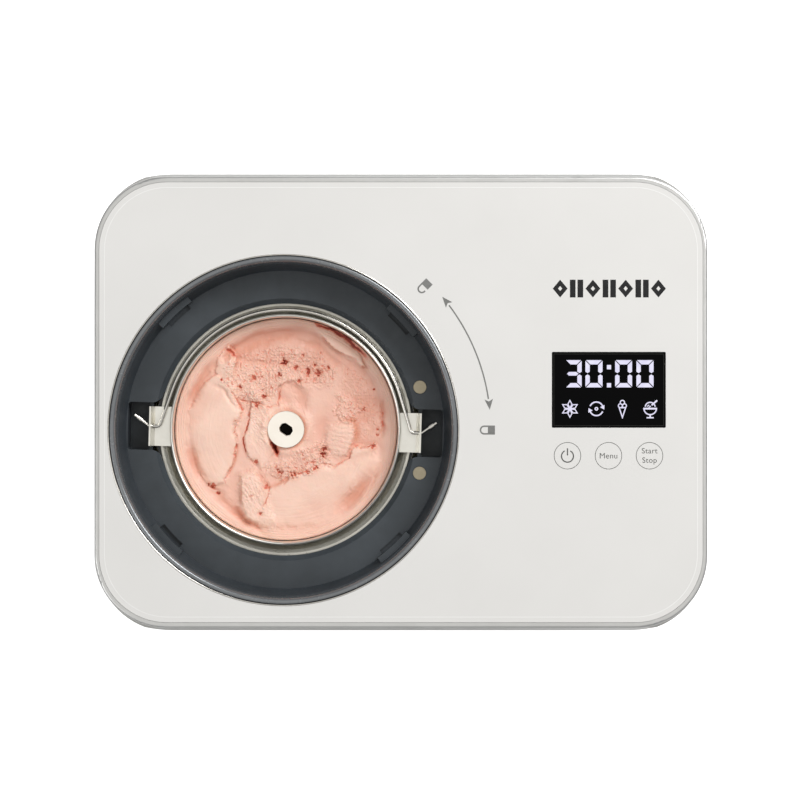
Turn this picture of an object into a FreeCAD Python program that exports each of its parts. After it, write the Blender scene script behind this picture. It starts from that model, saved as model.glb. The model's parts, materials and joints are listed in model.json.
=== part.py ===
"""Self-cooling ice cream maker: compressor housing, cold well, lift-out bowl, paddle and bail handle.

Frame: origin under the middle of the footprint, +X to the control side, +Y to the back, +Z up.
All sizes are millimetres and come from the spreadsheet "dims".
"""
import FreeCAD, Part
import math
import os
import Sketcher

os.makedirs("parts", exist_ok=True)
doc = FreeCAD.newDocument("IceCreamMaker")
V = FreeCAD.Vector
UP = V(0, 0, 1)

DIMENSIONS = {
    # housing
    "body_w": 380, "body_d": 286, "body_r": 47, "skirt_inset": 3, "skirt_r": 44, "shell_wall": 2.4,
    "shell_z": 8, "shoulder_z": 177, "shell_top": 189.6,
    "vent_w": 3.4, "vent_pitch": 8, "vent_count": 9, "vent_z": 38, "vent_len": 96,
    "post_x": 169.2, "post_y": 122.2, "post_r": 6,
    # top cover and glass
    "cover_d": 280, "cover_r": 45, "cover_lip_top": 199.1, "floor_z": 196.3, "floor_t": 3,
    "cover_wall": 3.2, "panel_w": 373.8, "panel_d": 272.6, "panel_r": 42, "panel_t": 3,
    "panel_gap": 0.2, "panel_hole_r": 107,
    "lens_x": 128.7, "lens_y": 7.7, "lens_w": 70.4, "lens_d": 46.8,
    "button_x": 128.5, "button_y": -33.1, "button_pitch": 25.4, "button_r": 6,
    "ring_out_r": 109, "ring_in_r": 104.2, "ring_top": 200,
    # the well: place of its axis, then radii and heights about it
    "well_x": -72.8, "well_y": -17.2, "ear_turn": -1.5,
    "deck_z": 172, "deck_t": 2.4, "deck_out_r": 100, "bevel_r": 82.5, "lip_r": 79.5, "lip_z": 168.6,
    "collar_foot_z": 165.4, "flange_r": 112.5, "flange_z": 187.7, "collar_screw_r": 109,
    "recess_half": 15, "recess_out_r": 99, "recess_floor": 152.5,
    "lug_turn": 43, "lug_half": 5, "lug_in_r": 96.5, "lug_out_r": 104.4,
    "contact_r": 4, "contact_at_r": 88.8, "contact_turn_rear": 17.5, "contact_turn_front": -18,
    "contact_proud": 0.4, "holder_r": 6.2, "holder_z": 154.5,
    # cold well
    "cup_r": 72.4, "cup_t": 1.2, "cup_floor": 72.4, "cup_flange_r": 81.6, "cup_flange_z": 164.6,
    "coil_tube_r": 3, "coil_pitch": 13, "coil_z": 80, "coil_rise": 52,
    "foam_in_r": 80.4, "foam_out_r": 96, "foam_z": 50, "foam_top": 149, "bucket_t": 2.2,
    # bowl, paddle, ice cream
    "bowl_r": 71.6, "bowl_wall": 0.8, "bowl_z": 72.7, "bowl_corner": 5, "bead_z": 170.2,
    "pin_r": 3.5, "pin_top": 90, "ear_half": 12.4, "ear_out": 83, "ear_z": 166.4, "ear_t": 1,
    "ear_top": 174, "pivot_z": 169.8, "wire_r": 1.1, "bail_r": 75.5, "ear_hole_r": 1.5,
    "hub_r": 11.5, "hub_h": 20, "hub_top": 162.6, "stem_r": 8.5,
    "paddle_z": 75.2, "blade_r": 68.5, "blade_t": 3.2,
    "socket_l": 8.5, "socket_w": 6.7, "socket_cut": 1.8, "socket_deep": 14, "socket_turn": -54,
    "ice_r": 70.2, "ice_top": 160,
    # machinery
    "comp_x": 102, "comp_y": -54, "comp_r": 55, "comp_z": 24, "comp_top": 153,
    "grommet_dx": 54, "grommet_dy": 40,
    "fan_x": 102.5, "fan_y": 70, "fan_z": 72, "fan_side": 80, "fan_t": 25, "fan_open_r": 37.5,
    "fan_tip_r": 36, "fan_hub_r": 16,
    "cond_x": 45, "cond_y": 111, "cond_w": 115, "cond_t": 22, "cond_z": 24, "cond_rise": 96,
    "run_pitch": 16, "run_count": 6, "fin_count": 24, "fin_t": 0.6,
    "line_r": 2.5, "capillary_r": 1.2,
    # control board
    "board_top": 186.2, "board_t": 1.6, "board_y": -6, "harness_z": 178,
    # base, feet, cord entry
    "base_t": 3, "foot_x": 140, "foot_y": 100, "foot_r": 13,
    "gland_x": -120, "gland_z": 30, "gland_bore": 3.7,
}

sheet = doc.addObject("Spreadsheet::Sheet", "dims")
for row, (alias, number) in enumerate(DIMENSIONS.items(), start=1):
    sheet.set(f"A{row}", alias)
    sheet.set(f"B{row}", str(number))
    sheet.setAlias(f"B{row}", alias)
doc.recompute()


def size(text):
    """The value of an expression in the sheet's names."""
    return float(sheet.evalExpression(linked(text)))


def linked(text):
    """The same expression with each sheet name written as dims.name."""
    words = []
    word = ""
    for letter in str(text) + " ":
        if letter.isalnum() or letter in "_.":
            word += letter
            continue
        words.append("dims." + word if word in DIMENSIONS else word)
        words.append(letter)
        word = ""
    return "".join(words).strip()


# ---------------------------------------------------------------- sketches and features

def new_body(label):
    body = doc.addObject("PartDesign::Body", label)
    body.Label = label
    return body


def at_well(body, turned=False):
    """Puts a body on the well's axis, and turns it with the bowl's ears where asked."""
    body.setExpression("Placement.Base.x", "dims.well_x")
    body.setExpression("Placement.Base.y", "dims.well_y")
    if turned:
        body.Placement.Rotation = FreeCAD.Rotation(UP, size("ear_turn"))
        body.setExpression("Placement.Rotation.Angle", "dims.ear_turn")


def sketch(body, role, lift="0"):
    """An empty sketch on one of the body's own planes, lifted along that plane's normal."""
    plane = [f for f in body.Origin.OriginFeatures if f.Role == role][0]
    drawing = body.newObject("Sketcher::SketchObject", body.Label + "_sketch")
    drawing.AttachmentSupport = [(plane, "")]
    drawing.MapMode = "FlatFace"
    drawing.setExpression("AttachmentOffset.Base.z", linked(lift))
    return drawing


def bind(drawing, constraint, name, text):
    index = drawing.addConstraint(constraint)
    drawing.renameConstraint(index, name)
    drawing.setExpression("Constraints." + name, linked(text))


def arc_between(start, end, radius):
    """The short arc from start to end; a positive radius turns left on the way, a negative right."""
    half = (end - start) * 0.5
    height = math.sqrt(max(radius * radius - half.Length ** 2, 0))
    side = V(-half.y, half.x, 0).normalize() * math.copysign(1, radius)
    centre = start + half + side * height
    first = math.atan2(start.y - centre.y, start.x - centre.x)
    last = math.atan2(end.y - centre.y, end.x - centre.x)
    circle = Part.Circle(centre, UP, abs(radius))
    if radius > 0:
        return Part.ArcOfCircle(circle, first, last if last > first else last + 2 * math.pi)
    return Part.ArcOfCircle(circle, last, first if first > last else first + 2 * math.pi)


def outline(drawing, vertices, tag="v"):
    """A closed outline; each vertex is (x, y) or (x, y, radius of the arc to the next vertex)."""
    points = [V(size(v[0]), size(v[1]), 0) for v in vertices]
    ids = []
    ends = []
    for i, vertex in enumerate(vertices):
        after = points[(i + 1) % len(points)]
        radius = size(vertex[2]) if len(vertex) > 2 else 0
        if radius:
            ids.append(drawing.addGeometry(arc_between(points[i], after, radius)))
            ends.append((1, 2) if radius > 0 else (2, 1))
        else:
            ids.append(drawing.addGeometry(Part.LineSegment(points[i], after)))
            ends.append((1, 2))
    for i, vertex in enumerate(vertices):
        j = (i + 1) % len(vertices)
        drawing.addConstraint(Sketcher.Constraint("Coincident", ids[i], ends[i][1], ids[j], ends[j][0]))
        x = Sketcher.Constraint("DistanceX", -1, 1, ids[i], ends[i][0], points[i].x)
        y = Sketcher.Constraint("DistanceY", -1, 1, ids[i], ends[i][0], points[i].y)
        bind(drawing, x, f"{tag}x{i}", vertex[0])
        bind(drawing, y, f"{tag}y{i}", vertex[1])
        if len(vertex) > 2:
            curve = Sketcher.Constraint("Radius", ids[i], abs(size(vertex[2])))
            bind(drawing, curve, f"{tag}bend{i}", f"abs({vertex[2]})")
    return drawing


def round_hole(drawing, x, y, radius, tag):
    """A full circle in a sketch."""
    centre = V(size(x), size(y), 0)
    circle = drawing.addGeometry(Part.Circle(centre, UP, size(radius)))
    bind(drawing, Sketcher.Constraint("DistanceX", -1, 1, circle, 3, centre.x), f"{tag}x", x)
    bind(drawing, Sketcher.Constraint("DistanceY", -1, 1, circle, 3, centre.y), f"{tag}y", y)
    bind(drawing, Sketcher.Constraint("Radius", circle, size(radius)), f"{tag}size", radius)
    return drawing


def box_corners(x0, y0, x1, y1):
    return [(x0, y0), (x1, y0), (x1, y1), (x0, y1)]


def rounded(width, depth, radius, cx="0", cy="0"):
    """Vertices of a rectangle with round corners about (cx, cy)."""
    x0, x1 = f"{cx} - ({width}) / 2", f"{cx} + ({width}) / 2"
    y0, y1 = f"{cy} - ({depth}) / 2", f"{cy} + ({depth}) / 2"
    r = f"({radius})"
    return [
        (f"{x0} + {r}", y0), (f"{x1} - {r}", y0, r), (x1, f"{y0} + {r}"), (x1, f"{y1} - {r}", r),
        (f"{x1} - {r}", y1), (f"{x0} + {r}", y1, r), (x0, f"{y1} - {r}"), (x0, f"{y0} + {r}", r),
    ]


def sector(r0, r1, half, turn):
    """Vertices of a ring sector between two radii, half an angle each side of a direction."""
    a, b = f"({turn} - ({half}))", f"({turn} + ({half}))"
    return [
        (f"({r0}) * cos({a})", f"({r0}) * sin({a})"),
        (f"({r1}) * cos({a})", f"({r1}) * sin({a})", r1),
        (f"({r1}) * cos({b})", f"({r1}) * sin({b})"),
        (f"({r0}) * cos({b})", f"({r0}) * sin({b})", f"-({r0})"),
    ]


def pad(body, drawing, length, midplane=False, reverse=False, taper="0"):
    feature = body.newObject("PartDesign::Pad", body.Label + "_pad")
    feature.Profile = drawing
    feature.Midplane = midplane
    feature.Reversed = reverse
    feature.setExpression("Length", linked(length))
    feature.setExpression("TaperAngle", linked(taper))
    doc.recompute()
    return feature


def pocket(body, drawing, length, reverse=False, midplane=False, taper="0"):
    """A cut; one that takes nothing away is an error."""
    before = body.Shape.Volume
    feature = body.newObject("PartDesign::Pocket", body.Label + "_pocket")
    feature.Profile = drawing
    feature.Reversed = reverse
    feature.Midplane = midplane
    feature.setExpression("Length", linked(length))
    feature.setExpression("TaperAngle", linked(taper))
    doc.recompute()
    if body.Shape.Volume > before - 1e-3:
        raise RuntimeError(f"{feature.Label} cuts nothing")
    return feature


def turned(body, vertices, cut=False):
    """A full turn of an outline in the body's XZ plane about its Z axis."""
    drawing = outline(sketch(body, "XZ_Plane"), vertices)
    kind = "PartDesign::Groove" if cut else "PartDesign::Revolution"
    feature = body.newObject(kind, body.Label + "_turned")
    feature.Profile = drawing
    feature.ReferenceAxis = (drawing, ["V_Axis"])
    feature.Angle = 360
    doc.recompute()
    return feature


def around(body, features, count):
    """The features repeated evenly about the body's Z axis."""
    axis = [f for f in body.Origin.OriginFeatures if f.Role == "Z_Axis"][0]
    pattern = body.newObject("PartDesign::PolarPattern", body.Label + "_around")
    pattern.Originals = features
    pattern.Axis = (axis, [""])
    pattern.Angle = 360
    pattern.Occurrences = count
    body.Tip = pattern
    doc.recompute()
    return pattern


def ladder(body, feature, role, pitch, count):
    """A feature repeated in a straight row."""
    axis = [f for f in body.Origin.OriginFeatures if f.Role == role][0]
    pattern = body.newObject("PartDesign::LinearPattern", body.Label + "_row")
    pattern.Originals = [feature]
    pattern.Direction = (axis, [""])
    pattern.setExpression("Length", linked(f"{pitch} * ({count} - 1)"))
    pattern.Occurrences = int(size(count))
    body.Tip = pattern
    doc.recompute()
    return pattern


def fillet(body, edges, radius):
    base = body.Tip
    feature = body.newObject("PartDesign::Fillet", body.Label + "_fillet")
    feature.Base = (base, edges)
    feature.Radius = radius
    doc.recompute()
    return feature


def flat_edges(shape, z):
    """Names of the edges that lie in the level plane at z."""
    names = []
    for i, edge in enumerate(shape.Edges, start=1):
        box = edge.BoundBox
        if abs(box.ZMin - z) < 0.01 and abs(box.ZMax - z) < 0.01:
            names.append(f"Edge{i}")
    return names


# ---------------------------------------------------------------- primitives

def rod(label, radius, length, x, y, z, axis=UP):
    """A cylinder from (x, y, z) along an axis."""
    cylinder = doc.addObject("Part::Cylinder", label)
    cylinder.setExpression("Radius", linked(radius))
    cylinder.setExpression("Height", linked(length))
    cylinder.Placement.Rotation = FreeCAD.Rotation(UP, axis)
    for name, text in zip("xyz", (x, y, z)):
        cylinder.setExpression("Placement.Base." + name, linked(text))
    return cylinder


def block(label, w, d, rise, x, y, z):
    """A box from its lowest corner."""
    box = doc.addObject("Part::Box", label)
    for name, text in (("Length", w), ("Width", d), ("Height", rise)):
        box.setExpression(name, linked(text))
    for name, text in zip("xyz", (x, y, z)):
        box.setExpression("Placement.Base." + name, linked(text))
    return box


def fuse(label, shapes):
    joined = doc.addObject("Part::MultiFuse", label)
    joined.Label = label
    joined.Shapes = shapes
    return joined


def cut(label, base, tool):
    result = doc.addObject("Part::Cut", label)
    result.Label = label
    result.Base = base
    result.Tool = tool
    return result


def feature(label, shape, place=None):
    """A piece whose shape comes straight from Part's functions."""
    item = doc.addObject("Part::Feature", label)
    item.Label = label
    item.Shape = shape
    if place:
        item.Placement = place
    return item


def corners(dx, dy, cx=0, cy=0):
    """The four corners of a rectangle."""
    return [(cx + sx * dx, cy + sy * dy) for sx in (-1, 1) for sy in (-1, 1)]


def rounded_path(points, radius):
    """A wire of straight runs with a tangent arc at each inner point."""
    edges = []
    start = points[0]
    for before, corner, after in zip(points, points[1:], points[2:]):
        into = (corner - before).normalize()
        out = (after - corner).normalize()
        turn = into.getAngle(out)
        reach = radius * math.tan(turn / 2)
        first = corner - into * reach
        last = corner + out * reach
        middle_line = (out - into).normalize()
        middle = corner + middle_line * (radius / math.cos(turn / 2) - radius)
        if (first - start).Length > 1e-6:
            edges.append(Part.LineSegment(start, first).toShape())
        edges.append(Part.Arc(first, middle, last).toShape())
        start = last
    edges.append(Part.LineSegment(start, points[-1]).toShape())
    return Part.Wire(edges)


def tube_along(wire, radius, way):
    """A round bar swept along a wire that starts in the direction given."""
    start = wire.OrderedVertexes[0].Point
    section = Part.Wire(Part.makeCircle(radius, start, way))
    return wire.makePipeShell([section], True, False)


def wound(turn_r, wire_r, pitch, rise):
    """Round wire wound about the Z axis, with a section of two half circles."""
    near, far = V(turn_r - wire_r, 0, 0), V(turn_r + wire_r, 0, 0)
    upper = Part.Arc(near, V(turn_r, 0, wire_r), far).toShape()
    lower = Part.Arc(far, V(turn_r, 0, -wire_r), near).toShape()
    helix = Part.makeHelix(pitch, rise, turn_r)
    return Part.Wire(helix.Edges).makePipeShell([Part.Wire([upper, lower])], True, True)


# ---------------------------------------------------------------- housing

def housing_shell():
    """Tapered wall with a shoulder, open top and bottom, vents at the side and the back."""
    body = new_body("housing_shell")
    foot_w, foot_d = "body_w - 2 * skirt_inset", "body_d - 2 * skirt_inset"
    draft = "atan(skirt_inset / (shoulder_z - shell_z))"
    skirt = outline(sketch(body, "XY_Plane", "shell_z"), rounded(foot_w, foot_d, "skirt_r"))
    pad(body, skirt, "shoulder_z - shell_z", taper=draft)
    shoulder = outline(sketch(body, "XY_Plane", "shoulder_z"), rounded("body_w", "body_d", "body_r"))
    pad(body, shoulder, "shell_top - shoulder_z")
    slopes = sketch(body, "YZ_Plane")
    for side in ("", "-"):
        outline(slopes, [
            (f"{side}body_d / 2", "shoulder_z"), (f"{side}(body_d / 2 + 1)", "shoulder_z"),
            (f"{side}(body_d / 2 + 1)", "shell_top + 1"), (f"{side}cover_d / 2", "shell_top + 1"),
            (f"{side}cover_d / 2", "shell_top"),
        ], "back" if side else "front")
    pocket(body, slopes, "body_w + 2", midplane=True)
    inner = rounded(f"{foot_w} - 2 * shell_wall", f"{foot_d} - 2 * shell_wall", "skirt_r - shell_wall")
    hollow = outline(sketch(body, "XY_Plane", "shell_z"), inner)
    pocket(body, hollow, "shoulder_z - shell_z", reverse=True, taper=draft)
    neck = rounded("body_w - 2 * shell_wall", "cover_d - 2 * shell_wall", "cover_r - shell_wall")
    pocket(body, outline(sketch(body, "XY_Plane", "shell_top"), neck), "shell_top - shoulder_z")
    wall = "shell_wall + skirt_inset + 3"
    side = sketch(body, "YZ_Plane", "body_w / 2 + 1")
    outline(side, rounded("vent_len", "vent_w", "vent_w / 2 - 0.01", "-54", "vent_z"))
    ladder(body, pocket(body, side, wall), "Z_Axis", "vent_pitch", "vent_count")
    back = sketch(body, "XZ_Plane", "-body_d / 2 - 1")
    outline(back, rounded("vent_len + 14", "vent_w", "vent_w / 2 - 0.01", "fan_x", "vent_z"))
    ladder(body, pocket(body, back, wall, reverse=True), "Z_Axis", "vent_pitch", "vent_count")
    entry = round_hole(sketch(body, "XZ_Plane", "-body_d / 2 - 1"), "gland_x", "gland_z", "7", "entry")
    pocket(body, entry, wall, reverse=True)
    posts = sketch(body, "XY_Plane", "shell_z + base_t")
    bores = sketch(body, "XY_Plane", "shell_z + base_t")
    for i, (sx, sy) in enumerate(corners(1, 1)):
        round_hole(posts, f"{sx} * post_x", f"{sy} * post_y", "post_r", f"post{i}")
        round_hole(bores, f"{sx} * post_x", f"{sy} * post_y", "1.6", f"bore{i}")
    pad(body, posts, "40")
    pocket(body, bores, "20", reverse=True)
    return body


def top_cover():
    """Frame with the thin outer lip, the tray that carries the glass, and the board's posts."""
    body = new_body("top_cover")
    inner_w = "panel_w + 2 * panel_gap"
    inner_d = "panel_d + 2 * panel_gap"
    whole = outline(sketch(body, "XY_Plane", "shell_top"), rounded("body_w", "cover_d", "cover_r"))
    pad(body, whole, "cover_lip_top - shell_top")
    fillet(body, flat_edges(body.Shape, size("cover_lip_top")), 1.6)
    tray = rounded(inner_w, inner_d, "panel_r + panel_gap")
    pocket(body, outline(sketch(body, "XY_Plane", "cover_lip_top"), tray), "cover_lip_top - floor_z")
    hollow = rounded("body_w - 2 * cover_wall", "cover_d - 2 * cover_wall", "cover_r - cover_wall")
    under = "floor_z - floor_t - shell_top"
    pocket(body, outline(sketch(body, "XY_Plane", "shell_top"), hollow), under, reverse=True)
    bosses = sketch(body, "XY_Plane", "flange_z")
    for i in range(6):
        angle = f"(60 * {i} + 30)"
        x = f"well_x + collar_screw_r * cos{angle}"
        y = f"well_y + collar_screw_r * sin{angle}"
        round_hole(bosses, x, y, "3.3", f"boss{i}")
    pad(body, bosses, "floor_z - floor_t - flange_z")
    legs = sketch(body, "XY_Plane", "board_top")
    for i, (dx, dy) in enumerate(corners(39, 42)):
        round_hole(legs, f"button_x + {dx}", f"board_y + {dy}", "2.6", f"leg{i}")
    pad(body, legs, "floor_z - floor_t - board_top")
    openings = sketch(body, "XY_Plane", "floor_z")
    round_hole(openings, "well_x", "well_y", "ring_in_r + 1.7", "well")
    outline(openings, rounded("lens_w - 4", "lens_d - 4", "1", "lens_x", "lens_y"), "window")
    for i in (-1, 0, 1):
        round_hole(openings, f"button_x + {i} * button_pitch", "button_y", "button_r", f"key{i + 1}")
    pocket(body, openings, "floor_t")
    bores = sketch(body, "XY_Plane", "flange_z")
    for i in range(6):
        angle = f"(60 * {i} + 30)"
        x = f"well_x + collar_screw_r * cos{angle}"
        y = f"well_y + collar_screw_r * sin{angle}"
        round_hole(bores, x, y, "1.35", f"bore{i}")
    pocket(body, bores, "6", reverse=True)
    return body


def top_panel():
    """Back-printed glass with the round opening and the display's cut-out."""
    body = new_body("top_panel")
    drawing = sketch(body, "XY_Plane", "floor_z")
    outline(drawing, rounded("panel_w", "panel_d", "panel_r"))
    round_hole(drawing, "well_x", "well_y", "panel_hole_r", "well")
    outline(drawing, rounded("lens_w + 0.2", "lens_d + 0.2", "0.8", "lens_x", "lens_y"), "window")
    pad(body, drawing, "panel_t")
    return body


def display_lens():
    body = new_body("display_lens")
    window = rounded("lens_w", "lens_d", "0.7", "lens_x", "lens_y")
    drawing = outline(sketch(body, "XY_Plane", "floor_z"), window)
    pad(body, drawing, "panel_t")
    return body


def trim_ring():
    """Bevelled ring over the glass edge, with a skirt down into the opening."""
    body = new_body("trim_ring")
    at_well(body)
    glass = "floor_z + panel_t"
    turned(body, [
        ("ring_out_r", glass), ("ring_out_r - 0.4", "ring_top - 0.1"), ("ring_out_r - 0.8", "ring_top"),
        ("ring_in_r + 3", "ring_top"), ("ring_in_r + 0.4", "ring_top - 2.6"), ("ring_in_r", "ring_top - 4"),
        ("ring_in_r", "flange_z + 0.1"), ("ring_in_r + 1.4", "flange_z + 0.1"),
        ("ring_in_r + 1.4", "floor_z"), ("ring_in_r + 2.4", glass),
    ])
    return body


def collar():
    """Deck and wall round the bowl, with two ear recesses, four bayonet pockets, two contact holes."""
    body = new_body("collar")
    at_well(body, turned=True)
    turned(body, [
        ("lip_r", "collar_foot_z"), ("lip_r", "lip_z"), ("bevel_r", "deck_z"), ("deck_out_r", "deck_z"),
        ("ring_in_r - 0.6", "flange_z"), ("flange_r", "flange_z"), ("flange_r", "flange_z - 2.4"),
        ("ring_in_r + 1.6", "flange_z - 2.4"), ("deck_out_r + 2.3", "deck_z - deck_t"),
        ("lip_r + 3", "deck_z - deck_t"), ("lip_r + 2.2", "lip_z - 1"), ("lip_r + 2.2", "collar_foot_z"),
    ])
    cup = "recess_half + 2"
    tub = outline(sketch(body, "XY_Plane", "recess_floor - 2"),
                  box_corners("lip_r + 4.1", f"-({cup})", "recess_out_r + 2", cup))
    tubs = pad(body, tub, "deck_z - recess_floor + 1")
    backing = outline(sketch(body, "XY_Plane", "deck_z - 4"),
                      sector("deck_out_r - 1", "lug_out_r + 2", "lug_half + 2", "lug_turn - ear_turn"))
    backings = pad(body, backing, "16")
    around(body, [backings], 4)
    around(body, [tubs], 2)
    lug = outline(sketch(body, "XY_Plane", "deck_z + 9"),
                  sector("lug_in_r", "lug_out_r", "lug_half", "lug_turn - ear_turn"))
    around(body, [pocket(body, lug, "11.2")], 4)
    deep = outline(sketch(body, "XY_Plane", "deck_z + 0.1"),
                   rounded("recess_out_r - lip_r - 6.1", "2 * recess_half", "2",
                           "(recess_out_r + lip_r + 6.1) / 2"))
    around(body, [pocket(body, deep, "deck_z + 0.1 - recess_floor")], 2)
    x0, x1, y0, y1 = "lip_r - 2", "lip_r + 4.5", "recess_half", "recess_half + 6.5"
    mouth = outline(sketch(body, "XY_Plane", "deck_z + 0.1"), [
        ("60", f"-({y1})"), (x0, f"-({y1})", "-6.5"), (x1, f"-{y0}"), ("lip_r + 7.5", f"-{y0}"),
        ("lip_r + 7.5", y0), (x1, y0, "-6.5"), (x0, y1), ("60", y1),
    ])
    around(body, [pocket(body, mouth, "deck_z + 0.1 - collar_foot_z")], 2)
    holes = sketch(body, "XY_Plane", "deck_z")
    for i, turn in enumerate(("contact_turn_rear", "contact_turn_front")):
        angle = f"({turn} - ear_turn)"
        x, y = f"contact_at_r * cos{angle}", f"contact_at_r * sin{angle}"
        round_hole(holes, x, y, "contact_r + 0.2", f"c{i}")
    pocket(body, holes, "deck_t")
    bores = sketch(body, "XY_Plane", "flange_z")
    for i in range(6):
        angle = f"(60 * {i} + 30 - ear_turn)"
        round_hole(bores, f"collar_screw_r * cos{angle}", f"collar_screw_r * sin{angle}", "1.8", f"s{i}")
    pocket(body, bores, "2.4")
    return body


def collar_seal():
    """Rubber ring between the collar's foot and the well's flange."""
    body = new_body("collar_seal")
    at_well(body)
    turned(body, box_corners("lip_r + 0.2", "cup_flange_z", "lip_r + 2", "collar_foot_z"))
    return body


def collar_screws():
    screws = []
    for i in range(6):
        angle = f"(60 * {i} + 30)"
        x = f"well_x + collar_screw_r * cos{angle}"
        y = f"well_y + collar_screw_r * sin{angle}"
        screws.append(rod("screw_head", "2.8", "1.8", x, y, "flange_z - 4.2"))
        screws.append(rod("screw_shank", "1.3", "7.6", x, y, "flange_z - 2.4"))
    return fuse("collar_screws", screws)


def contact(side):
    """Sprung contact button, its holder under the deck and its coil spring."""
    angle = f"(contact_turn_{side})"
    x = f"well_x + contact_at_r * cos{angle}"
    y = f"well_y + contact_at_r * sin{angle}"
    under = "deck_z - deck_t"
    disc = rod("contact_disc", "contact_r", "deck_t + contact_proud + 0.1", x, y, f"{under} - 0.1")
    rim = rod("contact_rim", "contact_r + 0.9", "1.2", x, y, f"{under} - 1.3")
    stem = rod("contact_stem", "1.6", "deck_z - deck_t - 0.8 - holder_z", x, y, "holder_z - 0.5")
    fuse(f"contact_pin_{side}", [disc, rim, stem])
    outer = rod("holder_outer", "holder_r", f"{under} - holder_z", x, y, "holder_z")
    room = rod("holder_room", "contact_r + 1.2", f"{under} - holder_z - 3", x, y, "holder_z + 3")
    guide = rod("holder_guide", "1.68", "4", x, y, "holder_z - 0.5")
    cut(f"contact_holder_{side}", outer, fuse("holder_inside", [room, guide]))
    wire_r, coil_r, turns = 0.3, 2.9, 5
    low = size("holder_z") + 3 + wire_r + 0.05
    rise = size("deck_z - deck_t") - 1.3 - wire_r - 0.05 - low
    coil = wound(coil_r, wire_r, rise / turns, rise)
    place = FreeCAD.Placement(V(size(x), size(y), low), FreeCAD.Rotation())
    feature(f"contact_spring_{side}", coil, place)


# ---------------------------------------------------------------- cold well

def cooling_cup():
    """Aluminium well with a flared rim that carries the collar's seal."""
    body = new_body("cooling_cup")
    at_well(body)
    turned(body, [
        ("0", "cup_floor - cup_t"), ("cup_r - 2.6", "cup_floor - cup_t"),
        ("cup_r + cup_t", "cup_floor + 2.2"),
        ("cup_r + cup_t", "cup_flange_z - 12.6"), ("cup_r + 2.5", "cup_flange_z - 5.4"),
        ("cup_r + 4.4", "cup_flange_z - 2"), ("cup_r + 6.2", "cup_flange_z - cup_t"),
        ("cup_flange_r", "cup_flange_z - cup_t"), ("cup_flange_r", "cup_flange_z"),
        ("cup_r + 5.8", "cup_flange_z"), ("cup_r + 3.6", "cup_flange_z - 1.1"),
        ("cup_r + 1.3", "cup_flange_z - 4.9"), ("cup_r", "cup_flange_z - 12.4"),
        ("cup_r", "cup_floor + 2.4"), ("cup_r - 2.4", "cup_floor"), ("0", "cup_floor"),
    ])
    return body


def evaporator_coil():
    """Copper tube wound round the well."""
    radius = size("cup_r + cup_t + coil_tube_r + 0.1")
    coil = wound(radius, size("coil_tube_r"), size("coil_pitch"), size("coil_rise"))
    place = FreeCAD.Placement(V(size("well_x"), size("well_y"), size("coil_z")), FreeCAD.Rotation())
    feature("evaporator_coil", coil, place)


def foam_insulation():
    """Foam cup round the coil, with a notch at the top and a tunnel at the bottom for the lines."""
    body = new_body("foam_insulation")
    at_well(body)
    turned(body, [
        ("0", "foam_z"), ("foam_out_r", "foam_z"), ("foam_out_r", "foam_top"), ("foam_in_r", "foam_top"),
        ("foam_in_r", "cup_floor - cup_t"), ("0", "cup_floor - cup_t"),
    ])
    line_passages(body)
    return body


def foam_bucket():
    """Plastic outer pail of the foam, on four legs."""
    body = new_body("foam_bucket")
    at_well(body)
    turned(body, [
        ("0", "foam_z - bucket_t"), ("foam_out_r + bucket_t", "foam_z - bucket_t"),
        ("foam_out_r + bucket_t", "foam_top"), ("foam_out_r", "foam_top"), ("foam_out_r", "foam_z"),
        ("0", "foam_z"),
    ])
    legs = sketch(body, "XY_Plane", "shell_z + base_t")
    for i, (dx, dy) in enumerate(corners(52, 52)):
        round_hole(legs, str(dx), str(dy), "6", f"leg{i}")
    pad(body, legs, "foam_z - bucket_t - shell_z - base_t")
    line_passages(body)
    return body


def line_passages(body):
    """Cuts the ways in and out of the coil through the foam or its pail."""
    near = "cup_r + cup_t - 2"
    notch = outline(sketch(body, "XY_Plane", "foam_top"), box_corners(near, "14", f"{near} + 14", "72"))
    pocket(body, notch, "foam_top - coil_z - coil_rise + 6")
    tunnel = outline(sketch(body, "YZ_Plane", near), box_corners("-72", "coil_z - 6", "-14", "coil_z + 6"))
    pocket(body, tunnel, "14", reverse=True)


def cup_sensor():
    """Temperature probe held against the well above the coil."""
    x = "well_x - (cup_r + cup_t + 2.2)"
    return rod("cup_sensor", "2", "18", x, "well_y - 9", "foam_top - 2.5", V(0, 1, 0))


# ---------------------------------------------------------------- bowl, handle, paddle

def bowl():
    """Thin steel bowl with a rolled rim."""
    body = new_body("bowl")
    at_well(body, turned=True)
    inner = "(bowl_r - bowl_wall)"
    floor_top = "(bowl_z + bowl_wall)"
    turned(body, [
        ("0", "bowl_z"), ("bowl_r - bowl_corner", "bowl_z", "bowl_corner"),
        ("bowl_r", "bowl_z + bowl_corner"),
        ("bowl_r", "bead_z - 1.3", "0.9"), ("bowl_r + 0.6", "bead_z - 1.1", "1.32"),
        ("bowl_r + 0.4", "bead_z + 1.3", "1.32"), (inner, "bead_z - 0.1"),
        (inner, f"{floor_top} + bowl_corner", "-bowl_corner"), (f"{inner} - bowl_corner", floor_top),
        ("0", floor_top),
    ])
    return body


def bowl_pivot_pin():
    """Steel pin with a welded foot, on the middle of the bowl's floor."""
    floor_top = "(bowl_z + bowl_wall)"
    foot = rod("pin_foot", "7", "1.2", "well_x", "well_y", floor_top)
    shaft = rod("pin_shaft", "pin_r", f"pin_top - {floor_top}", "well_x", "well_y", floor_top)
    return fuse("bowl_pivot_pin", [foot, shaft])


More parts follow.
